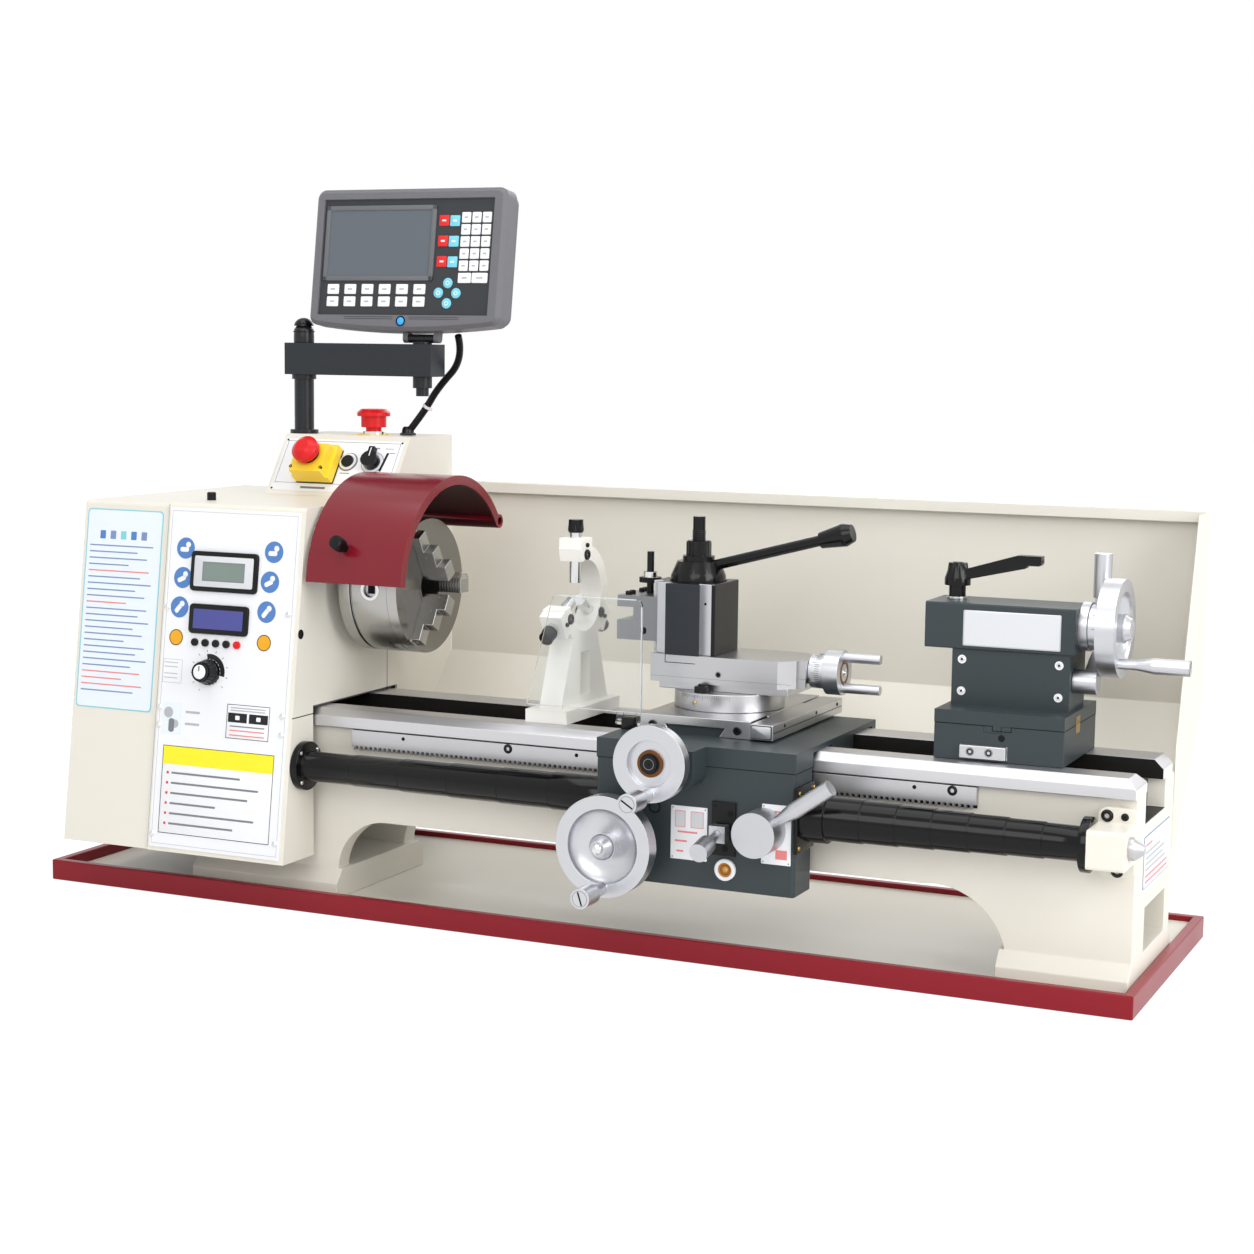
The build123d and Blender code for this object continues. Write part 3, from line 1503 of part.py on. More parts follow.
def tool_holder():
    right = post_x - post_half - clear_gap
    holder = block((holder_left, right), (post_y - holder_half, post_y + holder_half),
                   (holder_low, holder_high))
    groove = [(x, y) for y, x in post_dovetail_outline(clear_gap, post_y, post_x - post_half, -1)]
    holder -= prism_z(groove, (holder_low - overrun, holder_high + overrun))
    holder -= block((holder_left - overrun, holder_left + tool_slot_depth),
                    (post_y - holder_half - overrun, post_y + holder_half + overrun),
                    (tool_slot_low, tool_slot_high))
    outline = [(0, 0), (holder_stud, 0), (holder_stud, holder_nut_low), (holder_nut_radius, holder_nut_low),
               (holder_nut_radius, holder_nut_low + holder_nut_height),
               (holder_nut_radius * 2 / 3, holder_nut_low + holder_nut_height),
               (holder_nut_radius * 2 / 3, holder_nut_low + holder_nut_height * 2),
               (holder_stud, holder_nut_low + holder_nut_height * 2), (holder_stud, holder_stud_length),
               (0, holder_stud_length)]
    return holder + turned(outline, (holder_stud_x, post_y, holder_high), (0, 0, 1))


def chip_shield():
    left, right = shield_bracket_left, shield_bracket_right
    y = (shield_y - shield_sheet / 2, shield_y + shield_sheet / 2)
    outline = [(shield_low_left, shield_low), (shield_right, shield_low), (shield_right, shield_high),
               (shield_top_left, shield_high)]
    sheet = prism_y(outline, y)
    corners = [edge for edge in sheet.edges().filter_by(Axis.Y) if edge.center().Z > shield_high - overrun]
    sheet = fillet(corners, shield_corner)
    for x in ((left - clear_gap - shield_tab, left - clear_gap), (right + clear_gap, shield_right)):
        sheet += block(x, y, (shield_pin_z, shield_low))
    pin = (left - clear_gap - shield_tab, shield_right)
    return sheet + rod((pin[0], shield_y, shield_pin_z), (pin[1], shield_y, shield_pin_z), shield_pin_radius)


def tailstock_base():
    top = way_top + slide_gap + tail_base_height
    base = block((tail_left, tail_right), (tail_front, tail_back), (way_top + slide_gap, top))
    base -= block((tail_tongue_x - tail_tongue_half, tail_tongue_x + tail_tongue_half),
                  (tail_front - overrun, tail_back + overrun), (top - tail_tongue_depth, top + overrun))
    strip_left = tail_left + clamp_strip_inset
    return base + block((strip_left, strip_left + clamp_strip_length),
                        (tail_front - clamp_strip_thick, tail_front),
                        (clamp_strip_low, clamp_strip_high))


def tailstock_body():
    base_top = way_top + slide_gap + tail_base_height
    plate_top = base_top + tail_plate
    body = block((tail_left, tail_right), (tail_front, tail_back), (base_top, plate_top))
    body += block((tail_tongue_x - tail_tongue_half, tail_tongue_x + tail_tongue_half),
                  (tail_front, tail_back),
                  (base_top - tail_tongue_depth, base_top))
    body += block((tail_body_left, tail_body_right), (-tail_body_half, tail_body_half),
                  (plate_top, barrel_bottom))
    barrel = block((barrel_left, barrel_right), (-barrel_half, barrel_half), (barrel_bottom, barrel_top))
    body += fillet(barrel.edges().filter_by(Axis.X), tail_corner)
    body -= rod((barrel_left - overrun, 0, spindle_z), (quill_right + overrun, 0, spindle_z),
                quill_radius + running_fit)
    body += rod((barrel_right, 0, spindle_z), (barrel_right + tail_collar, 0, spindle_z), tail_collar_radius)
    body -= rod((quill_right, 0, spindle_z), (barrel_right + tail_collar + overrun, 0, spindle_z),
                tail_screw_radius + running_fit)
    body -= rod((lock_x, 0, barrel_top - lock_screw_depth), (lock_x, 0, barrel_top + overrun),
                lock_screw + running_fit)
    return body - rod((tail_body_right - clamp_shaft_depth, clamp_y, clamp_z),
                      (tail_body_right + overrun, clamp_y, clamp_z), clamp_shaft + running_fit)


def quill():
    length = quill_right - quill_left
    outline = [(quill_socket_mouth, 0), (quill_radius, 0), (quill_radius, length),
               (tail_screw_radius + clear_gap, length),
               (tail_screw_radius + clear_gap, quill_socket_depth), (quill_socket_end, quill_socket_depth)]
    return turned(outline, (quill_left, 0, spindle_z), (1, 0, 0))


def tailstock_handwheel():
    dial = barrel_right + tail_collar + clear_gap
    wheel = dished_wheel((tail_wheel_left, 0, spindle_z), (1, 0, 0), tail_wheel_radius, tail_wheel_width,
                         tail_hub_radius, tail_nut_length, tail_screw_radius,
                         tail_wheel_left - quill_right + quill_radius)
    wheel += rod((dial, 0, spindle_z), (tail_wheel_left, 0, spindle_z), tail_dial_radius)
    at = (tail_wheel_left + tail_wheel_width, tail_grip_y, spindle_z + tail_grip_z)
    return wheel + grip(at, (1, 0, 0), tail_grip_length, tail_grip_neck, tail_grip_head)


def quill_lock_lever():
    low = clear_gap
    neck = low + lock_washer + lock_neck_height
    hub = neck + lock_hub_height
    outline = [(0, clear_gap - lock_screw_depth), (lock_screw, clear_gap - lock_screw_depth),
               (lock_screw, low),
               (lock_washer_radius, low), (lock_washer_radius, low + lock_washer),
               (lock_neck, low + lock_washer),
               (lock_neck, neck), (lock_hub, neck), (lock_hub, neck + lock_hub_height / 3),
               (lock_hub_top, hub),
               (0, hub)]
    lever = turned(outline, (lock_x, 0, barrel_top), (0, 0, 1))
    root = barrel_top + neck + lock_hub_height / 2
    half = lock_arm_thick / 2
    tip = root + lock_arm_rise
    end = lock_x + lock_arm_length
    arm = [(lock_x, root - half), (end - lock_arm_width, tip - half), (end, tip - half), (end, tip + half),
           (end - lock_arm_width * 2, tip + half), (lock_x, root + half)]
    return lever + prism_y(arm, (-lock_arm_width / 2, lock_arm_width / 2))


def tailstock_clamp_lever():
    face = tail_body_right + clear_gap
    stub = rod((face, clamp_y, clamp_z), (face + clamp_stub_length, clamp_y, clamp_z), clamp_stub)
    stub += rod((tail_body_right - clamp_shaft_depth + clear_gap, clamp_y, clamp_z),
                (face, clamp_y, clamp_z),
                clamp_shaft)
    half = clamp_arm_half
    outline = [(clamp_y, clamp_z - half), (clamp_grip_y + half, clamp_elbow_z - half),
               (clamp_grip_y + half, clamp_grip_low), (clamp_grip_y - half, clamp_grip_low),
               (clamp_grip_y - half, clamp_elbow_z + half), (clamp_y, clamp_z + half)]
    arm_left = tail_body_right + clamp_arm_gap
    stub += prism_x(outline, (arm_left, arm_left + clamp_arm_thick))
    x = arm_left + clamp_arm_thick / 2
    return stub + rod((x, clamp_grip_y, clamp_grip_low), (x, clamp_grip_y, clamp_grip_high),
                      clamp_grip_radius)


def steady_frame():
    x = (steady_x - steady_half, steady_x + steady_half)
    frame = rod((x[0], 0, spindle_z), (x[1], 0, spindle_z), steady_ring)
    foot_low = way_top + slide_gap
    foot_high = foot_low + steady_foot_height
    leg = [(-steady_waist, steady_waist_z), (-steady_hip, foot_high), (steady_hip, foot_high),
           (steady_waist, steady_waist_z)]
    frame += prism_x(leg, x)
    boss = block(x, (0, steady_boss_end), (spindle_z - steady_boss_half, spindle_z + steady_boss_half))
    reach = steady_ring * 2
    middle = (steady_open_top_angle + steady_open_low_angle) / 2
    mouth = [(0, spindle_z)]
    mouth += [radial(angle, reach, 0)[1:] for angle in (steady_open_top_angle, middle,
                                                        steady_open_low_angle)]
    for angle in finger_angles:
        frame += about_spindle(boss, angle)
    frame -= rod((x[0] - overrun, 0, spindle_z), (x[1] + overrun, 0, spindle_z), steady_bore)
    frame -= prism_x(mouth, (x[0] - overrun, x[1] + overrun))
    frame -= block((x[0] - overrun, x[1] + overrun), (-steady_window_half, steady_window_half),
                   (steady_window_low, steady_window_high))
    for angle in finger_angles:
        frame -= rod(radial(angle, 0, steady_x), radial(angle, steady_boss_end + overrun, steady_x),
                     finger_radius + running_fit)
    return frame + block((steady_x - steady_foot_half, steady_x + steady_foot_half),
                         (steady_foot_front, steady_foot_back), (foot_low, foot_high))


def steady_finger(number):
    angle = finger_angles[number]
    knob = steady_boss_end + finger_knob_gap
    finger = rod(radial(angle, finger_tip, steady_x), radial(angle, knob, steady_x), finger_radius)
    return finger + rod(radial(angle, knob, steady_x), radial(angle, knob + finger_knob_length, steady_x),
                        finger_knob_radius)


pieces = [tray_frame, chip_tray, bed, splash_guard, headstock_casing, end_cover, headstock_casting,
          spindle_bearings, drive_motor, motor_rotor, drive_belt, control_panel, speed_knob, control_box,
          switch_box,
          switch_stop_button, top_stop_button, start_button, selector_knob, readout_column, readout_arm,
          readout_stem, readout_housing, readout_cable, spindle, chuck_back_plate, chuck_body, chuck_guard,
          lead_screw, screw_cover_left, screw_cover_right, screw_bracket, gear_rack, saddle, apron,
          apron_handwheel,
          cross_handwheel, feed_lever, half_nut_lever, cross_slide, compound_base, top_slide,
          top_slide_wheel,
          tool_post, tool_post_lever, tool_holder, chip_shield, tailstock_base, tailstock_body, quill,
          tailstock_handwheel, quill_lock_lever, tailstock_clamp_lever, steady_frame]

os.makedirs("parts", exist_ok=True)
for piece in pieces:
    export_step(piece(), f"parts/{piece.__name__}.step")
for index in range(jaw_count):
    export_step(chuck_jaw(index), f"parts/chuck_jaw_{index + 1}.step")
for index in range(len(finger_angles)):
    export_step(steady_finger(index), f"parts/steady_finger_{index + 1}.step")
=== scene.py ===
# %% [markdown]
# A bench lathe is a heavy bed with four groups on it: a headstock that turns the work, a carriage that
# moves the tool, a tailstock that holds the far end, and a steady rest between them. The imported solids
# already have the right sizes, so this lesson loads them as a fixed frame and dresses them with edges,
# finishes and small parts.

# %% Load the frame
import json
from itertools import product
from math import cos, hypot, radians, sin

import bmesh
import bpy
from mathutils import Matrix, Vector


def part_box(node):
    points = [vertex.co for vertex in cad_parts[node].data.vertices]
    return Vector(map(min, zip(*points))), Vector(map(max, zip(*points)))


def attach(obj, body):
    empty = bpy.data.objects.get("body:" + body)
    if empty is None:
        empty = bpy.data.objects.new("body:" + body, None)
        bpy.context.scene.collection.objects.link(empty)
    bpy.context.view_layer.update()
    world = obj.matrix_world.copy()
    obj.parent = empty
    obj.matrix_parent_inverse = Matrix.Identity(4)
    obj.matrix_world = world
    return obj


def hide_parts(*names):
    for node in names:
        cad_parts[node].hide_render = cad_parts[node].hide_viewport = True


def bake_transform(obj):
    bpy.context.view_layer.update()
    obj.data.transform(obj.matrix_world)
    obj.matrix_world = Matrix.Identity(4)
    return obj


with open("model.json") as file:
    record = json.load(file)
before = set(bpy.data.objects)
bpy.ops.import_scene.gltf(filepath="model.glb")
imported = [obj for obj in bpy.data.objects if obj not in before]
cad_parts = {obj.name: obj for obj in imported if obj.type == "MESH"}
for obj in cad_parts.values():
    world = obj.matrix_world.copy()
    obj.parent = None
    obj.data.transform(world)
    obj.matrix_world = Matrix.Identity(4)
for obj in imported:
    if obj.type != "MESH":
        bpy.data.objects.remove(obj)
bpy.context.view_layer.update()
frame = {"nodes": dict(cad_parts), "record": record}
MM = 0.001

# %% [markdown]
# The camera comes first, because every later choice is judged through it. Its place and turn were worked
# out from straight edges of the machine whose sizes are known, such as the bed's length and the chuck's
# diameter.

# %% Camera
PICTURE = 1254
FOCAL_PIXELS = 2324.77
SENSOR = 36.0
FAR_CLIP = 50
CAMERA_PLACE = Vector((1.44821, -2.40425, 0.67002))
YAW, PITCH, ROLL = radians(24.47), radians(7.05), radians(0.69)

back = Vector((sin(YAW) * cos(PITCH), -cos(YAW) * cos(PITCH), sin(PITCH)))
side = Vector((0, 0, 1)).cross(back).normalized()
above = back.cross(side)
right = side * cos(ROLL) + above * sin(ROLL)
up = above * cos(ROLL) - side * sin(ROLL)
lens = bpy.data.cameras.new("photo_lens")
lens.lens = FOCAL_PIXELS * SENSOR / PICTURE
lens.sensor_width = SENSOR
lens.clip_end = FAR_CLIP
camera = bpy.data.objects.new("photo_camera", lens)
bpy.context.scene.collection.objects.link(camera)
turn = Matrix((right, up, back)).transposed().to_4x4()
camera.matrix_world = Matrix.Translation(CAMERA_PLACE) @ turn
bpy.context.scene.camera = camera
print("lens", round(lens.lens, 2), "mm")

# %% [markdown]
# Product photographs of machines are lit with large soft boxes in a white room. Big area lamps give broad
# gentle highlights on the ground steel. The world is white to the camera and to reflections, and softer as
# a light.

# %% Lamps
scene = bpy.context.scene
scene.view_settings.view_transform = "Standard"


def soft_box(name, place, aim, size, watts):
    """An area lamp that looks at a point."""
    lamp = bpy.data.lights.new(name, "AREA")
    lamp.energy = watts
    lamp.shape = "RECTANGLE"
    lamp.size, lamp.size_y = size
    holder = bpy.data.objects.new(name, lamp)
    holder.location = place
    holder.rotation_euler = (Vector(aim) - Vector(place)).to_track_quat("-Z", "Y").to_euler()
    scene.collection.objects.link(holder)


soft_box("top_light", (0.4, -0.4, 3.0), (0.3, 0.0, 0.2), (3.2, 2.2), 38)
soft_box("front_light", (0.9, -3.2, 1.9), (0.4, 0, 0.3), (2.4, 1.8), 37)
soft_box("right_light", (3.2, -1.0, 1.5), (0.3, 0, 0.3), (1.6, 1.8), 50)
soft_box("back_light", (0.6, 2.6, 1.8), (0.3, 0, 0.3), (3.0, 1.4), 24)

# %% White room
ROOM_LIGHT = 0.58


def maths(tree, operation, first, second):
    """A Math node whose inputs are sockets or numbers."""
    node = tree.nodes.new("ShaderNodeMath")
    node.operation = operation
    for socket, value in zip(node.inputs, (first, second)):
        if isinstance(value, (int, float)):
            socket.default_value = value
        else:
            tree.links.new(value, socket)
    return node.outputs[0]


def seen_directly(tree):
    """One for rays from the camera, from a mirror and through glass, and nought for light on the object."""
    rays = tree.nodes.new("ShaderNodeLightPath").outputs
    seen = maths(tree, "MAXIMUM", rays["Is Camera Ray"], rays["Is Glossy Ray"])
    return maths(tree, "MAXIMUM", seen, rays["Is Transmission Ray"])


world = bpy.data.worlds.new("white_room")
world.use_nodes = True
scene.world = world
tree = world.node_tree
strength = tree.nodes.new("ShaderNodeMapRange")
strength.inputs["To Min"].default_value = ROOM_LIGHT
strength.inputs["To Max"].default_value = 1.0
tree.links.new(seen_directly(tree), strength.inputs["Value"])
tree.links.new(strength.outputs[0], tree.nodes["Background"].inputs["Strength"])
tree.nodes["Background"].inputs["Color"].default_value = (1, 1, 1, 1)
print("world", world.name, "with light", ROOM_LIGHT)

# %% Floor
FLOOR_SIZE, FLOOR_DROP = 14, -0.0004
PAPER_TONE, PAPER_GLOW, PAPER_SHARE = (0.86, 0.86, 0.86, 1), 1.22, 0.75


def new_object(name, bm):
    """An object in the scene from a bmesh, which is used up."""
    data = bpy.data.meshes.new(name)
    bm.to_mesh(data)
    bm.free()
    made = bpy.data.objects.new(name, data)
    scene.collection.objects.link(made)
    return made


def new_material(name):
    """A material, its node tree and its main shader."""
    material = bpy.data.materials.new(name)
    material.use_nodes = True
    return material, material.node_tree, material.node_tree.nodes["Principled BSDF"]


floor_mesh = bmesh.new()
bmesh.ops.create_grid(floor_mesh, x_segments=1, y_segments=1, size=FLOOR_SIZE)
floor = new_object("floor", floor_mesh)
floor.location.z = FLOOR_DROP
paper, tree, shade = new_material("white_paper")
shade.inputs["Base Color"].default_value = PAPER_TONE
shade.inputs["Roughness"].default_value = 0.9
glow = tree.nodes.new("ShaderNodeEmission")
glow.inputs["Strength"].default_value = PAPER_GLOW
mixed = tree.nodes.new("ShaderNodeMixShader")
tree.links.new(maths(tree, "MULTIPLY", seen_directly(tree), PAPER_SHARE), mixed.inputs["Fac"])
tree.links.new(shade.outputs[0], mixed.inputs[1])
tree.links.new(glow.outputs[0], mixed.inputs[2])
tree.links.new(mixed.outputs[0], tree.nodes["Material Output"].inputs["Surface"])
floor.data.materials.append(paper)
print("stage", floor.name)

# %% [markdown]
# Three effects return on most finishes, so each is a node group that is built once. Enamel drifts a little
# in tone and has a fine orange-peel skin. Ground steel has scratches in one direction. Turned metal has
# rings round its axis.

# %% Makers of shader nodes


def new_group(name, inputs, outputs):
    """An empty shader group with named sockets."""
    group = bpy.data.node_groups.new(name, "ShaderNodeTree")
    kinds = {"colour": "NodeSocketColor", "value": "NodeSocketFloat", "vector": "NodeSocketVector"}
    for label, kind in inputs:
        group.interface.new_socket(label, in_out="INPUT", socket_type=kinds[kind])
    for label, kind in outputs:
        group.interface.new_socket(label, in_out="OUTPUT", socket_type=kinds[kind])
    return group, group.nodes.new("NodeGroupInput"), group.nodes.new("NodeGroupOutput")


def vector_maths(group, operation, first, second):
    """A Vector Math node between two vector sockets."""
    node = group.nodes.new("ShaderNodeVectorMath")
    node.operation = operation
    group.links.new(first, node.inputs[0])
    group.links.new(second, node.inputs[1])
    return node.outputs[0]


def finish_outputs(group, start, end, pattern, relief):
    """Tone, roughness and relief from one pattern that runs from 0 to 1."""
    swing = maths(group, "SUBTRACT", pattern, 0.5)
    bright = maths(group, "ADD", 1.0, maths(group, "MULTIPLY", swing, start.outputs["Drift"]))
    scale = group.nodes.new("ShaderNodeVectorMath")
    scale.operation = "SCALE"
    group.links.new(start.outputs["Tone"], scale.inputs[0])
    group.links.new(bright, scale.inputs["Scale"])
    group.links.new(scale.outputs[0], end.inputs["Tone"])
    spread = maths(group, "MULTIPLY", swing, start.outputs["Spread"])
    group.links.new(maths(group, "ADD", start.outputs["Roughness"], spread), end.inputs["Roughness"])
    group.links.new(relief, end.inputs["Relief"])


SURFACE_INPUTS = [("Tone", "colour")]
SURFACE_INPUTS += [(name, "value") for name in ("Drift", "Roughness", "Spread", "Scale")]
SURFACE_OUTPUTS = [("Tone", "colour"), ("Roughness", "value"), ("Relief", "value")]


def noise(group, vector, scale, detail):
    """A noise texture on a vector, with its scale from a socket."""
    node = group.nodes.new("ShaderNodeTexNoise")
    node.inputs["Detail"].default_value = detail
    group.links.new(vector, node.inputs["Vector"])
    group.links.new(scale, node.inputs["Scale"])
    return node.outputs["Fac"]

# %% Three skins
enamel_skin, start, end = new_group("enamel_skin", SURFACE_INPUTS, SURFACE_OUTPUTS)
place = enamel_skin.nodes.new("ShaderNodeTexCoord").outputs["Object"]
cloud = noise(enamel_skin, place, start.outputs["Scale"], 5.0)
peel = noise(enamel_skin, place, maths(enamel_skin, "MULTIPLY", start.outputs["Scale"], 55.0), 2.0)
finish_outputs(enamel_skin, start, end, cloud, peel)

ground_skin, start, end = new_group("ground_skin", SURFACE_INPUTS + [("Stretch", "vector")], SURFACE_OUTPUTS)
place = ground_skin.nodes.new("ShaderNodeTexCoord").outputs["Object"]
stretched = vector_maths(ground_skin, "MULTIPLY", place, start.outputs["Stretch"])
lines = noise(ground_skin, stretched, start.outputs["Scale"], 4.0)
finish_outputs(ground_skin, start, end, lines, lines)

RING_INPUTS = SURFACE_INPUTS + [("Centre", "vector"), ("Mask", "vector")]
turned_skin, start, end = new_group("turned_skin", RING_INPUTS,
                                    SURFACE_OUTPUTS)
place = turned_skin.nodes.new("ShaderNodeTexCoord").outputs["Object"]
away = vector_maths(turned_skin, "SUBTRACT", place, start.outputs["Centre"])
flat = vector_maths(turned_skin, "MULTIPLY", away, start.outputs["Mask"])
reach = turned_skin.nodes.new("ShaderNodeVectorMath")
reach.operation = "LENGTH"
turned_skin.links.new(flat, reach.inputs[0])
rings = turned_skin.nodes.new("ShaderNodeTexNoise")
rings.noise_dimensions = "1D"
rings.inputs["Detail"].default_value = 3.0
turned_skin.links.new(reach.outputs["Value"], rings.inputs["W"])
turned_skin.links.new(start.outputs["Scale"], rings.inputs["Scale"])
finish_outputs(turned_skin, start, end, rings.outputs["Fac"], rings.outputs["Fac"])
print("groups", [g.name for g in bpy.data.node_groups])

# %% [markdown]
# Each finish is a Principled shader fed by one of those groups. Plain numbers such as metallic sit on the
# shader's own sockets, so that they survive an export.

# %% Makers of finishes
AXIS_Z = 377
SPINDLE, ROUND_X, ROUND_Y = (0, 0, AXIS_Z), (0, 1, 1), (1, 0, 1)
ALONG_X, ALONG_Y, ALL_WAYS = (14, 2200, 2200), (2200, 14, 2200), (300, 300, 300)
RELIEF_DEPTH = 0.0004


def linear(red, green, blue):
    """A colour as it is written for screens, turned into the numbers that light uses."""
    shares = [value / 255 for value in (red, green, blue)]
    return tuple(s / 12.92 if s <= 0.04045 else ((s + 0.055) / 1.055) ** 2.4 for s in shares) + (1.0,)


def finish(name, group, tone, rough, drift, spread, scale, bump, vectors=None, **sockets):
    """A material whose tone, roughness and relief come from a shared effect."""
    material, tree, shader = new_material(name)
    effect = tree.nodes.new("ShaderNodeGroup")
    effect.node_tree = group
    values = {"Tone": linear(*tone), "Drift": drift, "Roughness": rough, "Spread": spread, "Scale": scale}
    for label, value in {**values, **(vectors or {})}.items():
        effect.inputs[label].default_value = value
    tree.links.new(effect.outputs["Tone"], shader.inputs["Base Color"])
    tree.links.new(effect.outputs["Roughness"], shader.inputs["Roughness"])
    relief = tree.nodes.new("ShaderNodeBump")
    relief.inputs["Strength"].default_value = bump
    relief.inputs["Distance"].default_value = RELIEF_DEPTH
    tree.links.new(effect.outputs["Relief"], relief.inputs["Height"])
    tree.links.new(relief.outputs["Normal"], shader.inputs["Normal"])
    for label, value in sockets.items():
        shader.inputs[label.replace("_", " ")].default_value = value
    return material


def enamel(name, tone, rough=0.36, drift=0.05, bump=0.10, shine=0.3):
    return finish(name, enamel_skin, tone, rough, drift, 0.10, 9.0, bump, Specular_IOR_Level=shine)


def plastic(name, tone, rough=0.45, drift=0.08, scale=30.0, bump=0.15, shine=0.3):
    return finish(name, enamel_skin, tone, rough, drift, 0.12, scale, bump, Specular_IOR_Level=shine)


def ground(name, tone, stretch, rough=0.30, drift=0.09):
    return finish(name, ground_skin, tone, rough, drift, 0.07, 1.0, 0.02, {"Stretch": stretch}, Metallic=1.0)


def turned(name, tone, centre, mask, rough=0.28, drift=0.25):
    vectors = {"Centre": [value * MM for value in centre], "Mask": mask}
    return finish(name, turned_skin, tone, rough, drift, 0.10, 900.0, 0.003, vectors, Metallic=1.0)


def wheel_metal(name, centre, mask):
    return turned(name, (202, 203, 207), centre, mask, rough=0.32, drift=0.05)


def ink(name, tone):
    """A thin printed or moulded field: nearly even, with a little gloss."""
    return plastic(name, tone, rough=0.40, drift=0.03, scale=80.0, bump=0.05)

# %% Paints and metals
cream = enamel("cream_enamel", (226, 222, 211))
white_enamel = enamel("white_enamel", (241, 239, 232))
burgundy = enamel("burgundy_enamel", (119, 18, 32), rough=0.20, bump=0.03, shine=0.42)
frame_red = enamel("frame_enamel", (136, 21, 35), rough=0.30, bump=0.03, shine=0.24)
# Painted shade: the guard's burgundy paint darkened for its inside faces, which lie in shade.
guard_painted_inside_shade = enamel("guard_painted_inside_shade", (58, 9, 16), rough=0.45, bump=0.03, shine=0.2)
slate = enamel("slate_enamel", (52, 60, 63), rough=0.40)
dark_slate = enamel("dark_slate_enamel", (38, 42, 47), rough=0.40)
way_steel = ground("ground_way_steel", (196, 196, 198), ALONG_X, rough=0.34)
bed_steel = ground("ground_bed_steel", (205, 205, 208), ALONG_X, rough=0.38)
cross_steel = ground("ground_cross_steel", (190, 190, 192), ALONG_Y)
dark_steel = ground("worn_steel", (138, 139, 141), ALONG_X, rough=0.36)
bright_steel = ground("polished_steel", (222, 222, 222), ALL_WAYS, rough=0.16, drift=0.06)
aluminium = ground("satin_aluminium", (196, 197, 201), ALL_WAYS, rough=0.36, drift=0.06)
silver_foil = ground("silver_foil", (216, 218, 222), ALL_WAYS, rough=0.42, drift=0.05)
bronze = ground("oiled_bronze", (112, 72, 40), ALL_WAYS, rough=0.30, drift=0.2)
brass = ground("plain_brass", (196, 160, 92), ALL_WAYS, rough=0.30, drift=0.2)
chuck_steel = turned("turned_chuck_steel", (138, 136, 132), SPINDLE, ROUND_X, rough=0.24)
chuck_rim = turned("turned_chuck_rim", (178, 177, 174), SPINDLE, ROUND_X, rough=0.26)
jaw_steel = ground("ground_jaw_steel", (178, 177, 174), ALL_WAYS, rough=0.26)
spindle_steel = turned("turned_spindle_steel", (185, 185, 185), SPINDLE, ROUND_X)
apron_turned = wheel_metal("turned_apron_wheel", (422, 0, 134), ROUND_Y)
cross_turned = wheel_metal("turned_cross_wheel", (482, 0, 231), ROUND_Y)
top_turned = wheel_metal("turned_top_wheel", (0, 0, 309), ROUND_X)
tail_turned = wheel_metal("turned_tail_wheel", SPINDLE, ROUND_X)
print("paints and metals", len(bpy.data.materials))

# %% Plastics
black_oxide = plastic("black_oxide", (20, 20, 22), rough=0.30, shine=0.22)
black_plastic = plastic("black_plastic", (8, 8, 9), rough=0.18, bump=0.05, shine=0.28)
sleeve_black = plastic("sleeve_black", (8, 8, 9), rough=0.12, bump=0.02, shine=0.24)
# Near black, for the walls and floor of the bed's gap between the ways.
bed_gap_black = plastic("bed_gap_near_black", (22, 21, 20), rough=0.42, drift=0.3, shine=0.2)
column_black = plastic("column_black", (30, 32, 36), rough=0.26, bump=0.03, shine=0.3)
frame_grey = plastic("screen_frame", (104, 106, 110), rough=0.34)
# Near black: the colour of real joint lines between parts, and painted shade in holes, slots, sockets and
# gaps.
joints_and_painted_shade = plastic("dark_joints_and_painted_shade", (6, 6, 6), rough=0.8)
rubber = plastic("black_rubber", (10, 10, 11), rough=0.42, shine=0.25)
yellow = plastic("yellow_plastic", (251, 212, 58), rough=0.32, drift=0.04)
lemon_ink = plastic("lemon_ink", (246, 230, 46), rough=0.4, drift=0.03)
red = plastic("red_plastic", (214, 24, 28), rough=0.28, drift=0.05)
grey_shell = plastic("grey_shell", (108, 108, 113), rough=0.50, scale=60.0, bump=0.30)
white_foil = plastic("white_foil", (235, 236, 239), rough=0.42, drift=0.02)
raw_iron = plastic("raw_casting", (92, 92, 90), rough=0.7, drift=0.2, scale=60.0, bump=0.5)
print("with plastics", len(bpy.data.materials))

# %% Inks, glass and keys
line_ink = ink("line_ink", (120, 124, 130))
blue_ink = ink("blue_ink", (82, 126, 188))
aqua_ink = ink("aqua_ink", (132, 200, 214))
pale_ink = ink("pale_blue_ink", (226, 234, 243))
soft_ink = ink("soft_blue_ink", (122, 142, 182))
rose_ink = ink("rose_ink", (226, 132, 132))
grey_ink = ink("grey_ink", (176, 178, 182))
bezel_ink = ink("bezel_ink", (210, 212, 215))
amber_ink = ink("amber_ink", (232, 166, 38))
black_ink = ink("black_ink", (24, 24, 26))
face_ink = ink("readout_face", (52, 54, 57))
lcd_glass = plastic("lcd_glass", (124, 138, 132), rough=0.2, drift=0.05)
violet_glass = plastic("violet_glass", (76, 80, 146), rough=0.18, drift=0.08)
screen_glass = plastic("screen_glass", (96, 102, 110), rough=0.12, drift=0.06, scale=6.0, bump=0.0)
key_white = ink("key_white", (240, 241, 243))
key_red = ink("key_red", (222, 44, 42))
key_blue = ink("key_blue", (122, 206, 226))
lamp_blue = ink("lamp_blue", (40, 140, 240))
glow = lamp_blue.node_tree.nodes["Principled BSDF"].inputs
glow["Emission Color"].default_value = linear(60, 160, 255)
glow["Emission Strength"].default_value = 0.6
amber_glass = plastic("amber_glass", (186, 118, 24), rough=0.10, drift=0.2)
clear, _, shader = new_material("clear_sheet")
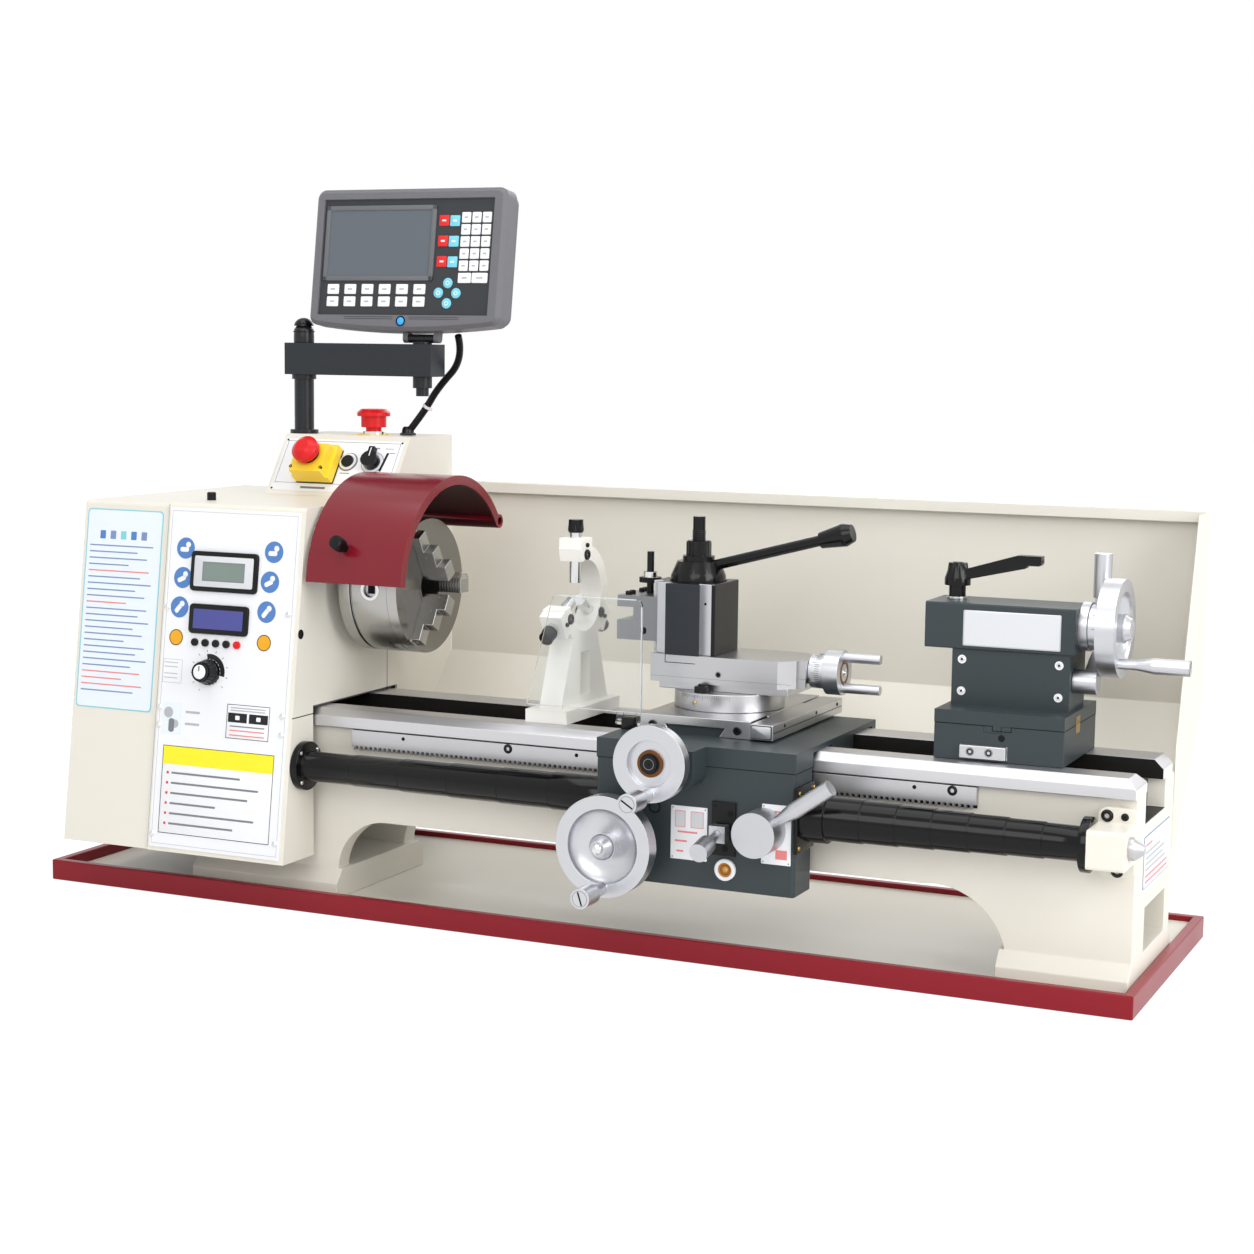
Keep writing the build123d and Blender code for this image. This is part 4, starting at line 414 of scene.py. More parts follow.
for label, value in (("Base Color", (0.93, 0.95, 0.96, 1)), ("Roughness", 0.05), ("IOR", 1.45),
                     ("Transmission Weight", 1.0)):
    shader.inputs[label].default_value = value
print("finishes", len(bpy.data.materials))

# %% [markdown]
# Later steps put things on the machine's faces. Each face is a flat place with its own directions: u to the
# right, v up and w out of the surface, all in millimetres. The front plate and the box above it lean back.

# %% Flat places on the machine
UP, TO_BACK, TO_FRONT, TO_RIGHT, TO_LEFT = (0, 0, 1), (0, 1, 0), (0, -1, 0), (1, 0, 0), (-1, 0, 0)


def facing(origin, out, up):
    """A flat place in millimetres: u runs to the right, v up, and w out of the surface."""
    w = Vector(out).normalized()
    v = (Vector(up) - w * w.dot(Vector(up))).normalized()
    turn = Matrix((v.cross(w), v, w)).transposed().to_4x4()
    return Matrix.Scale(MM, 4) @ Matrix.Translation(Vector(origin)) @ turn


def leaning(origin, rise, run):
    """A place that looks to the front and leans back; rise and run are the sine and cosine of the lean."""
    return facing(origin, (0, -run, rise), (0, rise, run))


FRONT = leaning((0, -174, 62), 0.13296, 0.99113)
SLOPE = leaning((0, 72, 472), 0.55985, 0.82857)
print("front plate at", [round(value, 3) for value in FRONT.translation])

# %% [markdown]
# A solid from CAD has knife edges, and no real casting or machined part has those. A copy of each solid is
# merged, its coplanar triangles are joined, and its sharp edges get a small round, so that they catch the
# light. Faces that have another finish on the real machine are picked by where they sit.

# %% Dressing helpers
SMOOTH_BELOW, SHARP_ABOVE, FLAT_BELOW = radians(38), radians(33), radians(0.4)
WELD = 1e-5
SMALLEST_ROUND, EDGE_SHARE = 0.03, 0.42
BODY_OF = {node: body for body, members in frame["record"]["behaviour"]["bodies"].items() for node in members}


def add_piece(name, bm, finishes, body=None):
    """Turns a bmesh into a piece with smooth shading, sharp at real edges, that rides on a body."""
    piece = new_object(name, bm)
    for material in finishes:
        piece.data.materials.append(material)
    piece.data.polygons.foreach_set("use_smooth", [True] * len(piece.data.polygons))
    piece.data.set_sharp_from_angle(angle=SMOOTH_BELOW)
    if body:
        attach(piece, body)
    return piece


def soften(bm, geom, width, kind="EDGES", segments=2, slide=False):
    """Rounds edges, or the corners of a flat face."""
    bmesh.ops.bevel(bm, geom=geom, offset=width, offset_type="OFFSET", affect=kind, segments=segments,
                    profile=0.5, material=-1, loop_slide=slide)


def dress(node, material, edge=0.8, extra=(), ride=True):
    """A bevelled copy of a CAD node; extra pairs a finish with a test of centre, normal and reach."""
    bm = bmesh.new()
    bm.from_mesh(frame["nodes"][node].data)
    bmesh.ops.remove_doubles(bm, verts=bm.verts, dist=WELD)
    bmesh.ops.dissolve_limit(bm, angle_limit=FLAT_BELOW, verts=bm.verts, edges=bm.edges)
    for face in bm.faces:
        face.material_index = 0
        centre = face.calc_center_median() / MM
        reach = max((vertex.co / MM - centre).length for vertex in face.verts)
        for number, (_, test) in enumerate(extra, 1):
            if test(centre, face.normal, reach):
                face.material_index = number
    sharp = [e for e in bm.edges if len(e.link_faces) == 2 and e.calc_face_angle(0) > SHARP_ABOVE]
    width = min(edge * MM, EDGE_SHARE * min((e.calc_length() for e in sharp), default=1))
    if width > SMALLEST_ROUND * MM:
        soften(bm, sharp, width, slide=True)
    finishes = [material] + [pair[0] for pair in extra]
    piece = add_piece(node + "_shell", bm, finishes, BODY_OF[node] if ride else None)
    if ride:
        piece.modifiers.new("even_normals", "WEIGHTED_NORMAL").keep_sharp = True
    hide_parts(node)
    return piece


def off_axis(centre):
    """Distance from the spindle's axis."""
    return hypot(centre.y, centre.z - AXIS_Z)


def near(centre, x, z):
    """Distance from a shaft that points to the front."""
    return hypot(centre.x - x, centre.z - z)


def on_front(centre):
    return FRONT.inverted() @ (centre * MM)


def on_slope(centre):
    return SLOPE.inverted() @ (centre * MM)


print("nodes with a body", len(BODY_OF))

# %% Solids in one finish
PLAIN_COATS = [
    (cream, 0.8, "chip_tray splash_guard end_cover"), (frame_red, 1.5, "tray_frame"),
    (cream, 1.5, "screw_bracket"), (white_enamel, 1.5, "steady_frame"),
    (raw_iron, 1.5, "headstock_casting drive_motor"),
    (spindle_steel, 0.8, "spindle_bearings spindle motor_rotor"), (rubber, 0.5, "drive_belt"),
    (yellow, 2.0, "switch_box"), (red, 1.2, "switch_stop_button top_stop_button"),
    (black_plastic, 0.8, "speed_knob start_button selector_knob"),
    (column_black, 0.8, "readout_column readout_stem"),
    (dark_slate, 1.2, "readout_arm"), (grey_shell, 1.0, "readout_housing"),
    (chuck_rim, 0.9, "chuck_back_plate"), (jaw_steel, 0.9, "chuck_jaw_1 chuck_jaw_2 chuck_jaw_3"),
    (way_steel, 0.5, "lead_screw gear_rack quill"),
    (aluminium, 0.9, "feed_lever half_nut_lever"), (apron_turned, 0.9, "apron_handwheel"),
    (top_turned, 0.9, "top_slide_wheel"), (tail_turned, 0.9, "tailstock_handwheel"),
    (aluminium, 0.8, "tailstock_clamp_lever"), (cross_steel, 0.9, "cross_slide compound_base top_slide"),
    (black_plastic, 0.9, "tool_post_lever"), (clear, 0.3, "chip_shield"),
]
dressed = 0
for coat, edge, names in PLAIN_COATS:
    for node in names.split():
        dress(node, coat, edge)
        dressed += 1
print("one finish", dressed)

# %% Solids in several finishes
TWO_TONES = [
    ("bed", cream, 1.5, [
        (bed_steel, lambda c, n, r: c.z > 215.9 and -105 < c.y < 76),
        # The walls and floor of the gap between the ways are near black.
        (bed_gap_black, lambda c, n, r: -53 < c.y < 29 and c.z > 120 and n.z < 0.9 and abs(n.x) < 0.9),
        (bed_gap_black, lambda c, n, r: -53 < c.y < 29 and 120 < c.z < 236)]),
    ("headstock_casing", cream, 0.8, [(black_plastic, lambda c, n, r: c.z > 472.2)]),
    ("control_panel", white_foil, 0.4, [
        (black_plastic, lambda c, n, r: on_front(c).z > 1.7),
        (red, lambda c, n, r: on_front(c).z > 1.7 and on_front(c).y < 257 and on_front(c).x > -88)]),
    ("control_box", cream, 1.5, [
        (white_foil, lambda c, n, r: on_slope(c).z > 0.2
                                     and hypot(on_slope(c).x + 77, on_slope(c).y - 50) < 12.5),
        (bright_steel, lambda c, n, r: c.z > 546.2)]),
    ("chuck_body", chuck_steel, 0.9, [(chuck_rim, lambda c, n, r: abs(n.x) < 0.3)]),
    ("chuck_guard", burgundy, 0.8, [
        # Painted shade: the guard's inside, facing the spindle, gets the darkened copy of its paint.
        (guard_painted_inside_shade, lambda c, n, r: n.y * c.y + n.z * (c.z - AXIS_Z) < -0.7 * off_axis(c)),
        (black_plastic, lambda c, n, r: off_axis(c) > 133.2 and c.y < 60)]),
    ("saddle", slate, 1.5, [(black_plastic, lambda c, n, r: c.z > 243.3 and c.x < 411 and c.y < -80)]),
    ("apron", slate, 1.5, [
        (black_oxide, lambda c, n, r: c.y < -159.2 and abs(c.x - 542.5) < 14 and 127 < c.z < 187),
        (white_foil, lambda c, n, r: c.y < -158 and near(c, 545, 113) < 12 and r < 12),
        (amber_glass, lambda c, n, r: c.y < -158 and near(c, 545, 113) < 7.9 and r < 8.2)]),
    ("cross_handwheel", cross_turned, 0.8, [
        (bronze, lambda c, n, r: near(c, 482, 231) < 14.8 and c.y < -217.2 and r < 15),
        (black_oxide, lambda c, n, r: near(c, 482, 231) < 9.3 and c.y < -220.1 and r < 9.3)]),
    ("tool_post", black_oxide, 0.8, [
        (aluminium, lambda c, n, r: c.y < -37.8 and n.z < 0.7),
        (dark_steel, lambda c, n, r: c.y < -38.5 and abs(n.x) > 0.5),
        (dark_slate, lambda c, n, r: c.y < -47.5 and n.y < -0.7),
        (cross_steel, lambda c, n, r: c.x < 408.2 and n.z < 0.7 and c.y > -37.8)]),
    ("tool_holder", black_oxide, 0.8, [
        (dark_steel, lambda c, n, r: c.z < 384.2),
        (bright_steel, lambda c, n, r: 402.9 < c.z < 409.5 and r < 8.4 and hypot(c.x - 384, c.y + 3) < 9)]),
    ("quill_lock_lever", black_plastic, 0.9, [(bright_steel, lambda c, n, r: c.z < 401.2)]),
    ("tailstock_base", slate, 1.2, [(way_steel, lambda c, n, r: c.y < -72.3)]),
    ("tailstock_body", slate, 1.2, [(aluminium, lambda c, n, r: c.x > 881.3 and c.z > 293)]),
]
for number in (1, 2, 3):
    TWO_TONES.append((f"steady_finger_{number}", bright_steel, 0.6,
                      [(black_plastic, lambda c, n, r: off_axis(c) > 71.6)]))
for node, coat, edge, extra in TWO_TONES:
    dress(node, coat, edge, extra)
print("several finishes", len(TWO_TONES))

# %% [markdown]
# Small parts such as screws, plates and keys are what make a machine look real. A kit collects many of them
# into one piece. Each is a few vertices that an operator grows: a flat face is extruded and its rim
# bevelled, a profile is spun round an axis, and a circle with every second vertex drawn in becomes a fluted
# knob.

TICK_HEIGHT, KIT_WELD = 0.12, 1e-4


def raise_face(part, low, high, edge=0.0, taper=1.0):
    """Lifts the flat face, extrudes it from its low to its high side and softens its front rim."""
    bmesh.ops.translate(part, verts=part.verts, vec=(0, 0, low))
    grown = bmesh.ops.extrude_face_region(part, geom=part.faces[:])["geom"]
    top = [item for item in grown if isinstance(item, bmesh.types.BMVert)]
    front = [item for item in grown if isinstance(item, bmesh.types.BMFace)]
    bmesh.ops.translate(part, verts=top, vec=(0, 0, high - low))
    bmesh.ops.scale(part, verts=top, vec=(taper, taper, 1))
    if edge:
        soften(part, list({side for face in front for side in face.edges}), edge)


class Kit:
    """Small parts that become one piece. Each brings its finish and sits on a flat place of the machine."""

    def __init__(self, at):
        self.at = at
        self.bm = bmesh.new()
        self.finishes = []

    def settle(self, part, finish, u, v, turn=0.0):
        """Closes a part, moves it to its place and adds it to the piece."""
        bmesh.ops.remove_doubles(part, verts=part.verts, dist=KIT_WELD)
        bmesh.ops.recalc_face_normals(part, faces=part.faces)
        if finish not in self.finishes:
            self.finishes.append(finish)
        for face in part.faces:
            face.material_index = self.finishes.index(finish)
        part.transform(self.at @ Matrix.Translation((u, v, 0)) @ Matrix.Rotation(radians(turn), 4, "Z"))
        data = bpy.data.meshes.new("small_part")
        part.to_mesh(data)
        part.free()
        self.bm.from_mesh(data)
        bpy.data.meshes.remove(data)

    def plate(self, u, v, low, high, finish, corner=0.0, edge=0.0, turn=0.0):
        """A flat plate between two places across and two upwards."""
        part = bmesh.new()
        bmesh.ops.create_grid(part, x_segments=1, y_segments=1, size=0.5)
        bmesh.ops.scale(part, verts=part.verts, vec=(u[1] - u[0], v[1] - v[0], 1))
        if corner:
            soften(part, part.verts[:], corner, "VERTICES", 4)
        raise_face(part, low, high, edge)
        self.settle(part, finish, sum(u) / 2, sum(v) / 2, turn)

    def outline(self, u, v, wide, low, high, finish):
        """A thin printed frame."""
        for side in (u[0], u[1] - wide):
            self.plate((side, side + wide), v, low, high, finish)
        for side in (v[0], v[1] - wide):
            self.plate(u, (side, side + wide), low, high, finish)

    def puck(self, u, v, radius, low, high, finish, edge=0.0, steps=32, taper=1.0, turn=0.0):
        """A round or many-sided disc."""
        part = bmesh.new()
        bmesh.ops.create_circle(part, cap_ends=True, radius=radius, segments=steps)
        raise_face(part, low, high, edge, taper)
        self.settle(part, finish, u, v, turn)

    def flutes(self, u, v, radius, depth, count, low, high, finish, taper=1.0):
        """A knob with flutes or a knurl."""
        part = bmesh.new()
        points = bmesh.ops.create_circle(part, cap_ends=True, radius=radius, segments=2 * count)["verts"]
        inward = (radius - depth) / radius
        bmesh.ops.scale(part, verts=points[::2], vec=(inward, inward, 1))
        raise_face(part, low, high, 0.0, taper)
        self.settle(part, finish, u, v)

    def lathe(self, u, v, profile, finish, steps=32, sweep=360.0, start=0.0):
        """A turned part from its half profile, given as radius and height."""
        part = bmesh.new()
        points = [part.verts.new((radius, 0, height)) for radius, height in profile]
        lines = [part.edges.new(pair) for pair in zip(points, points[1:])]
        bmesh.ops.spin(part, geom=points + lines, cent=(0, 0, 0), axis=(0, 0, 1), angle=radians(sweep),
                       steps=steps, use_merge=sweep == 360.0)
        self.settle(part, finish, u, v, start)

    def ring(self, u, v, inner, outer, low, high, finish, steps=36):
        """A flat ring, closed all round."""
        section = [(inner, low), (outer, low), (outer, high), (inner, high), (inner, low)]
        self.lathe(u, v, section, finish, steps)

    def cap_screw(self, u, v, radius, low, high, finish):
        """A screw with a round head and a socket."""
        self.lathe(u, v, [(0, high - radius / 2), (radius / 2, high - radius / 2), (radius / 2, high),
                          (radius * 0.85, high), (radius, high - radius * 0.15), (radius, low), (0, low)],
                   finish, 20)

    def dome_screw(self, u, v, radius, low, finish):
        """A screw or plug with a low dome."""
        self.lathe(u, v, [(0, low + radius * 0.55), (radius * 0.5, low + radius * 0.48),
                          (radius * 0.87, low + radius * 0.25), (radius, low), (0, low)], finish, 20)

    def ticks(self, u, v, radius, low, high, count, finish, wide=0.45, sweep=360.0, start=0.0):
        """Dial lines round a drum; every fifth line is longer."""
        upright = Matrix(((0, 0, 1, 0), (1, 0, 0, 0), (0, 1, 0, 0), (0, 0, 0, 1)))
        for number in range(count):
            part = bmesh.new()
            bmesh.ops.create_grid(part, x_segments=1, y_segments=1, size=0.5)
            tall = (high - low) * (1.0 if number % 5 == 0 else 0.6)
            bmesh.ops.scale(part, verts=part.verts, vec=(wide, tall, 1))
            bmesh.ops.translate(part, verts=part.verts, vec=(0, high - tall / 2, 0))
            raise_face(part, radius, radius + TICK_HEIGHT)
            part.transform(upright)
            self.settle(part, finish, u, v, start + sweep * number / count)

    def piece(self, name, body, slot=None):
        print(name, len(self.bm.faces), "faces")
        return add_piece(name, self.bm, self.finishes, body)


# %% [markdown]
# The front plate of the headstock is a printed sheet with plain fields of colour and ruled lines. A picture
# could be laid on it, but thin plates that stand a fraction of a millimetre above the sheet keep crisp
# edges at any distance.

# %% Front plate: fields


def lifted(place, height):
    """The same place, moved out of its surface."""
    return place @ Matrix.Translation((0, 0, height))


SHEET = lifted(FRONT, 1.5)
panel = Kit(SHEET)
panel.outline((-184, -9), (9, 404), 0.5, 0, 0.1, grey_ink)
# Painted shade: a dark strip stands in for the shade in the gap between the left cover and the panel.
panel.plate((-190.6, -189.5), (2, 411), -3.9, -2.0, joints_and_painted_shade)
for u, v in ((-162, 360), (-163.5, 325), (-165.5, 290), (-39, 361), (-42, 326), (-44, 291)):
    panel.puck(u, v, 12.6, 0, 0.2, blue_ink)
    panel.plate((u - 7.5, u + 4.5), (v - 4.4, v + 1.2), 0.2, 0.3, white_foil, corner=2.2, turn=v % 60)
    panel.puck(u + 3.4, v + 4.2, 3.4, 0.2, 0.3, white_foil, steps=20)
for u, v in ((-167.5, 254), (-44.7, 255)):
    panel.puck(u, v, 9.6, 0, 0.2, amber_ink)
    panel.ring(u, v, 8.6, 9.6, 0.2, 0.3, black_ink, 28)
for u, v in (((-151.6, -58.4), (310.4, 357.6)), ((-149.6, -67.4), (260.4, 295.6))):
    panel.plate(u, v, 0, 3.1, black_plastic, corner=5, edge=0.9)
panel.plate((-146, -64), (316, 352), 3.1, 3.3, bezel_ink, corner=2, edge=0.1)
panel.plate((-134.4, -75.6), (322.6, 345.4), 3.3, 3.4, line_ink)
panel.plate((-133, -77), (324, 344), 3.4, 3.5, lcd_glass, corner=1)
panel.plate((-143, -74), (266.5, 289.5), 3.1, 3.3, violet_glass, corner=1)
panel.plate((-183, -156), (200, 228), 0, 0.15, white_foil)
panel.outline((-183, -156), (200, 228), 0.5, 0.15, 0.2, grey_ink)
for v in (206, 211, 219, 224):
    panel.plate((-181, -162), (v - 0.5, v + 0.5), 0.15, 0.2, grey_ink)
panel.plate((-180, -152), (139, 177), 0, 0.15, pale_ink, corner=1)
for u, v, radius in ((-171, 165, 6.5), (-161, 152, 5.0)):
    panel.puck(u, v, radius, 0.15, 0.22, grey_ink, steps=24)
panel.plate((-170, -162), (142, 158), 0.22, 0.28, line_ink, corner=3)
for v in (167, 153):
    panel.plate((-147, -127), (v - 1.4, v + 1.4), 0, 0.1, grey_ink)
panel.piece("panel_fields", "frame", "white_panel")

# %% Front plate: data plate, sign field and screws
signs = Kit(SHEET)
for u, v, wide in (((-89, -30), (141, 181), 0.7), ((-175, -20), (22, 126), 0.8)):
    signs.plate(u, v, 0, 0.3, white_foil, edge=0.1)
    signs.outline(u, v, wide, 0.3, 0.4, black_ink)
for u in ((-87, -61), (-58, -32)):
    signs.plate(u, (160, 171), 0.3, 0.4, black_ink)
    signs.plate((u[0] + 10, u[1] - 10), (163, 168), 0.4, 0.45, white_foil, corner=1)
for v, tone in ((177, grey_ink), (174, grey_ink), (155.5, line_ink), (150.5, rose_ink), (145, rose_ink)):
    signs.plate((-84, -36), (v - 0.7, v + 0.7), 0.3, 0.4, tone)
signs.plate((-174.2, -20.8), (104, 125.2), 0.3, 0.38, lemon_ink)
for row, length in enumerate((96, 122, 108, 64, 118, 90)):
    v = 94 - 12 * row
    signs.plate((-168, -165), (v - 1.5, v + 1.5), 0.3, 0.38, key_red)
    signs.plate((-161, -161 + length), (v - 1.2, v + 1.2), 0.3, 0.38, line_ink)
for u, v in ((-183, 289), (-184, 170), (-184, 149), (-183, 20),
             (-14, 290), (-13, 172), (-13, 150), (-12, 24)):
    signs.dome_screw(u, v, 3.8, 0, bright_steel)
signs.piece("panel_signs", "frame", "white_panel")

# %% Front plate: speed knob


def around(reach, angle):
    """The two steps, across and up, from a centre to a point on a circle."""
    return reach * cos(radians(angle)), reach * sin(radians(angle))


KNOB = SHEET @ Matrix.Translation((-117.6, 216, 0))
knob_scale = Kit(KNOB)
knob_scale.lathe(0, 0, [(15.5, 0.1), (21.5, 0.1)], black_ink, 30, 115, -12)
for angle in range(-40, 241, 28):
    u, v = around(25, angle)
    knob_scale.plate((u - 1.3, u + 1.3), (v - 0.3, v + 0.3), 0, 0.1, black_ink, turn=angle)
knob_scale.piece("speed_scale", "frame")
knob_grip = Kit(KNOB)
knob_grip.flutes(0, 0, 15.8, 1.0, 20, 0.5, 17.0, black_plastic, 0.78)
knob_grip.lathe(0, 0, [(0, 21.7), (7.2, 21.5), (8.4, 20.5), (8.4, 20.1), (0, 20.1)], white_foil)
knob_grip.plate((-0.6, 0.6), (1, 7), 21.5, 21.8, black_ink)
knob_grip.piece("speed_knob_grip", "speed_knob", "black_plastic")

# %% [markdown]
# The left cover has one tall pale label with a light blue edge, and ruled lines of uneven length give it
# its tone. The sloped box above has a white plate with fine lines, a start button, a selector and a slot.

# %% Label on the left cover
COVER = lifted(FRONT, -1.98)
label = Kit(COVER)
label.plate((-309, -199), (162, 402), 0, 0.3, aqua_ink, corner=5)
label.plate((-307.5, -200.5), (163.5, 400.5), 0.3, 0.42, pale_ink, corner=4)
for row in range(24):
    v, length = 358 - 7.6 * row, (92, 70, 84, 58, 88, 76)[row % 6]
    tone = rose_ink if row in (4, 9, 20, 21, 22) else soft_ink
    label.plate((-303, -303 + length), (v - 0.8, v + 0.8), 0.42, 0.5, tone)
for number, tone in enumerate((blue_ink, soft_ink, aqua_ink, blue_ink, soft_ink)):
    u = -285 + 15 * number
    label.plate((u - 4, u + 4), (366, 376), 0.42, 0.5, tone, corner=1)
label.piece("cover_label", "frame")

# %% Sloped plate
slope = Kit(lifted(SLOPE, 0.5))
slope.plate((-178, -6), (6, 82), -0.5, 0, white_foil, corner=1.5, edge=0.1)
slope.outline((-174, -10), (17, 79), 0.6, 0, 0.1, line_ink)
for u, v in product((-175.5, -8.5), (8.5, 79.8)):
    slope.dome_screw(u, v, 1.5, 0, black_oxide)
slope.ring(-77, 50, 11.6, 13.2, 0, 0.4, line_ink)
slope.ring(-42, 50, 12.2, 14.6, 0, 0.3, white_foil)
slope.ring(-42, 50, 14.6, 15.4, 0, 0.2, line_ink)
slope.plate((-27.8, -24.6), (38, 65), 0, 0.4, black_ink, corner=0.6, turn=-9)
for u, v in (((-22, -14), (64, 65)), ((-46, -38), (70.5, 72)), ((-30, -18), (70.5, 71.3)),
             ((-134, -98), (9.5, 12.5)), ((-84, -70), (33, 34.2))):
    slope.plate(u, v, 0, 0.1, line_ink)
slope.piece("slope_plate", "frame", "white_panel")
pointer = Kit(SLOPE)
pointer.plate((-42.7, -41.3), (53, 65), 13.05, 13.3, white_foil)
pointer.piece("selector_mark", "selector")
start_ring = Kit(SLOPE)
# Painted shade: a dark ring stands in for the shaded gap round the start button.
start_ring.ring(-77, 50, 4.6, 6.6, 3.9, 4.3, joints_and_painted_shade)
start_ring.piece("start_button_ring", "start_button")

# %% Stop buttons


def top_at(x, y, z):
    """A level place that looks up."""
    return facing((x, y, z), UP, TO_BACK)


switch = Kit(SLOPE)
switch.ring(-115.5, 42, 10, 13.5, 30, 32.5, black_plastic)
for u in (-137, -94):
    switch.cap_screw(u, 24, 2.2, 28, 30.6, black_oxide)
switch.plate((-142.6, -88.4), (17.4, 66.6), 0.5, 2.5, black_plastic, corner=2)
switch.piece("switch_box_trim", "frame", "yellow_plastic")
crown = Kit(top_at(-70, 150, 546))
crown.ring(0, 0, 14.2, 22, 0, 1.0, yellow, 44)
for angle in range(0, 360, 30):
    u, v = around(18, angle)
    crown.plate((u - 1.4, u + 1.4), (v - 0.5, v + 0.5), 1.0, 1.15, black_ink, turn=angle)
crown.piece("stop_ring", "frame", "yellow_plastic")

# %% [markdown]
# The readout is a moulded grey case with a sunk face. Its keys are separate caps, each with a soft rim, and
# its screen sits in a grey frame. Each key has a short bar as its mark.

# %% Readout: face, screen and keys


def on_readout(depth, way):
    """A place on the readout, which tilts back."""
    tilt = Matrix.Translation((5, 142, 668)) @ Matrix.Rotation(radians(-8), 4, "X")
    return facing(tilt @ Vector((0, depth, 0)), tilt.to_3x3() @ Vector(way), tilt.to_3x3() @ Vector(UP))


FACE = on_readout(-22, TO_FRONT)
readout = Kit(FACE)
readout.plate((-141.5, 99.5), (26.5, 170.5), -3.0, -2.7, face_ink, corner=2)
for u, v in (((-138, 19.5), (157, 163)), ((-138, 19.5), (69, 75)), ((-138, -132), (69, 163)),
             ((13.5, 19.5), (69, 163))):
    readout.plate(u, v, -2.7, -0.6, frame_grey, edge=0.8)
readout.plate((-132, 13.5), (75, 157), -2.7, -1.9, screen_glass)
KEYS = [(-122 + 24.8 * column, v, 8.2, 6.2, key_white) for column in range(6) for v in (58.5, 43)]
KEYS += [(61.4 + 14.4 * column, 147 - 14.9 * row, 6.1, 6.4, key_white)
         for column in range(3) for row in range(5)]
KEYS += [(64.2, 72.4, 8.9, 6.2, key_white), (85.2, 72.4, 10.9, 6.2, key_white)]
for row in range(3):
    KEYS += [(30.8, 143.5 - 25.4 * row, 6.9, 6.7, key_red), (45.8, 143 - 25.4 * row, 6.7, 6.7, key_blue)]
for u, v, wide, tall, tone in KEYS:
    readout.plate((u - wide, u + wide), (v - tall, v + tall), -2.7, -1.5, tone, corner=1.2, edge=0.35)
    mark = grey_ink if tone is key_white else white_foil
    readout.plate((u - wide * 0.4, u + wide * 0.4), (v - 1.1, v + 1.1), -1.5, -1.42, mark, corner=0.5)
for u, v in ((41.5, 66.1), (29.1, 54), (53.8, 53.6), (41.5, 41)):
    readout.puck(u, v, 6.4, -2.7, -1.4, key_blue, edge=0.5)
    readout.ring(u, v, 1.8, 2.8, -1.4, -1.3, white_foil, 20)
readout.piece("readout_face", "readout", "grey_plastic")

# %% Readout: lamp, ribs, back screws and post cap
trim = Kit(FACE)
trim.ring(-20.4, 18.5, 4.8, 6.4, -0.2, 0.7, black_plastic)
trim.lathe(-20.4, 18.5, [(0, 2.2), (2.4, 1.9), (4.2, 1.0), (4.9, 0), (0, 0)], lamp_blue)
for u, v in product(((-102, -32), (-9, 61)), (23.6, 21.2)):
    trim.plate(u, (v - 0.35, v + 0.35), 0, 0.15, face_ink)
trim.at = on_readout(38, TO_BACK)
for u, v in product((-78, 112), (48, 150)):
    trim.cap_screw(u, v, 3.2, -0.6, 0.4, black_oxide)
# Painted shade: dark rounded strips stand in for the shade inside the air slots on the back.
for row in range(7):
    trim.plate((-20, 54), (84 + 7 * row, 86.4 + 7 * row), -0.05, 0.1, joints_and_painted_shade, corner=1)
trim.piece("readout_trim", "readout", "grey_plastic")
post = Kit(top_at(-168, 142, 686.3))
post.lathe(0, 0, [(0, 6.4), (4, 5.8), (7.6, 4.2), (10.4, 1.6), (12.2, -1.6), (12.6, -4), (0, -4)],
           black_plastic)
post.ring(0, 0, 13.0, 13.8, -12, -10.5, black_oxide)
post.piece("post_cap", "frame", "black_steel")

# %% [markdown]
# The readout's cable is a black cord that leaves the case, passes behind the arm and goes into the box. Its
# line is a NURBS curve through the same route as the CAD solid. A tube follows that line and is cut in two:
# a lower part from the box to the arm, and an upper one from the arm to the readout's swivel.

# %% Tube for the cable
CABLE_ROUTE = ((50, 152, 672), (46, 174, 643), (8, 175, 606), (-9, 174, 578), (-33, 172, 549.2))
CABLE_RADIUS = 4.5
UPPER_LENGTH = 96
TUBE_WELD, CUT_WELD = 1e-6, 1e-7


def tube_along(name, route, radius):
    """A closed tube along a smooth route, and the points that it follows."""
    data = bpy.data.curves.new(name + "_line", "CURVE")
    data.dimensions = "3D"
    data.resolution_u = 16
    spline = data.splines.new("NURBS")
    spline.points.add(len(route) - 1)
    for point, spot in zip(spline.points, route):
        point.co = (*(value * MM for value in spot), 1)
    spline.order_u = 3
    spline.use_endpoint_u = True
    holder = bpy.data.objects.new(name + "_line", data)
    line = bpy.data.meshes.new_from_object(holder)
    followed = [vertex.co.copy() for vertex in line.vertices]
    data.bevel_depth = radius * MM
    data.bevel_resolution = 5
    data.use_fill_caps = True
    tube = bmesh.new()
    tube.from_mesh(bpy.data.meshes.new_from_object(holder))
    bpy.data.objects.remove(holder)
    bmesh.ops.remove_doubles(tube, verts=tube.verts, dist=TUBE_WELD)
    for face in tube.faces:
        face.material_index = 0
    return tube, followed


def part_before(tube, spot, along):
    """What lies before a spot on a tube, closed again with a flat end."""
    part = tube.copy()
    everything = part.verts[:] + part.edges[:] + part.faces[:]
    bmesh.ops.bisect_plane(part, geom=everything, dist=CUT_WELD, plane_co=spot,
                           plane_no=along, clear_outer=True)
    bmesh.ops.edgeloop_fill(part, edges=[edge for edge in part.edges if edge.is_boundary])
    bmesh.ops.recalc_face_normals(part, faces=part.faces)
    return part


def length_of(points):
    return sum((after - before).length for before, after in zip(points, points[1:]))

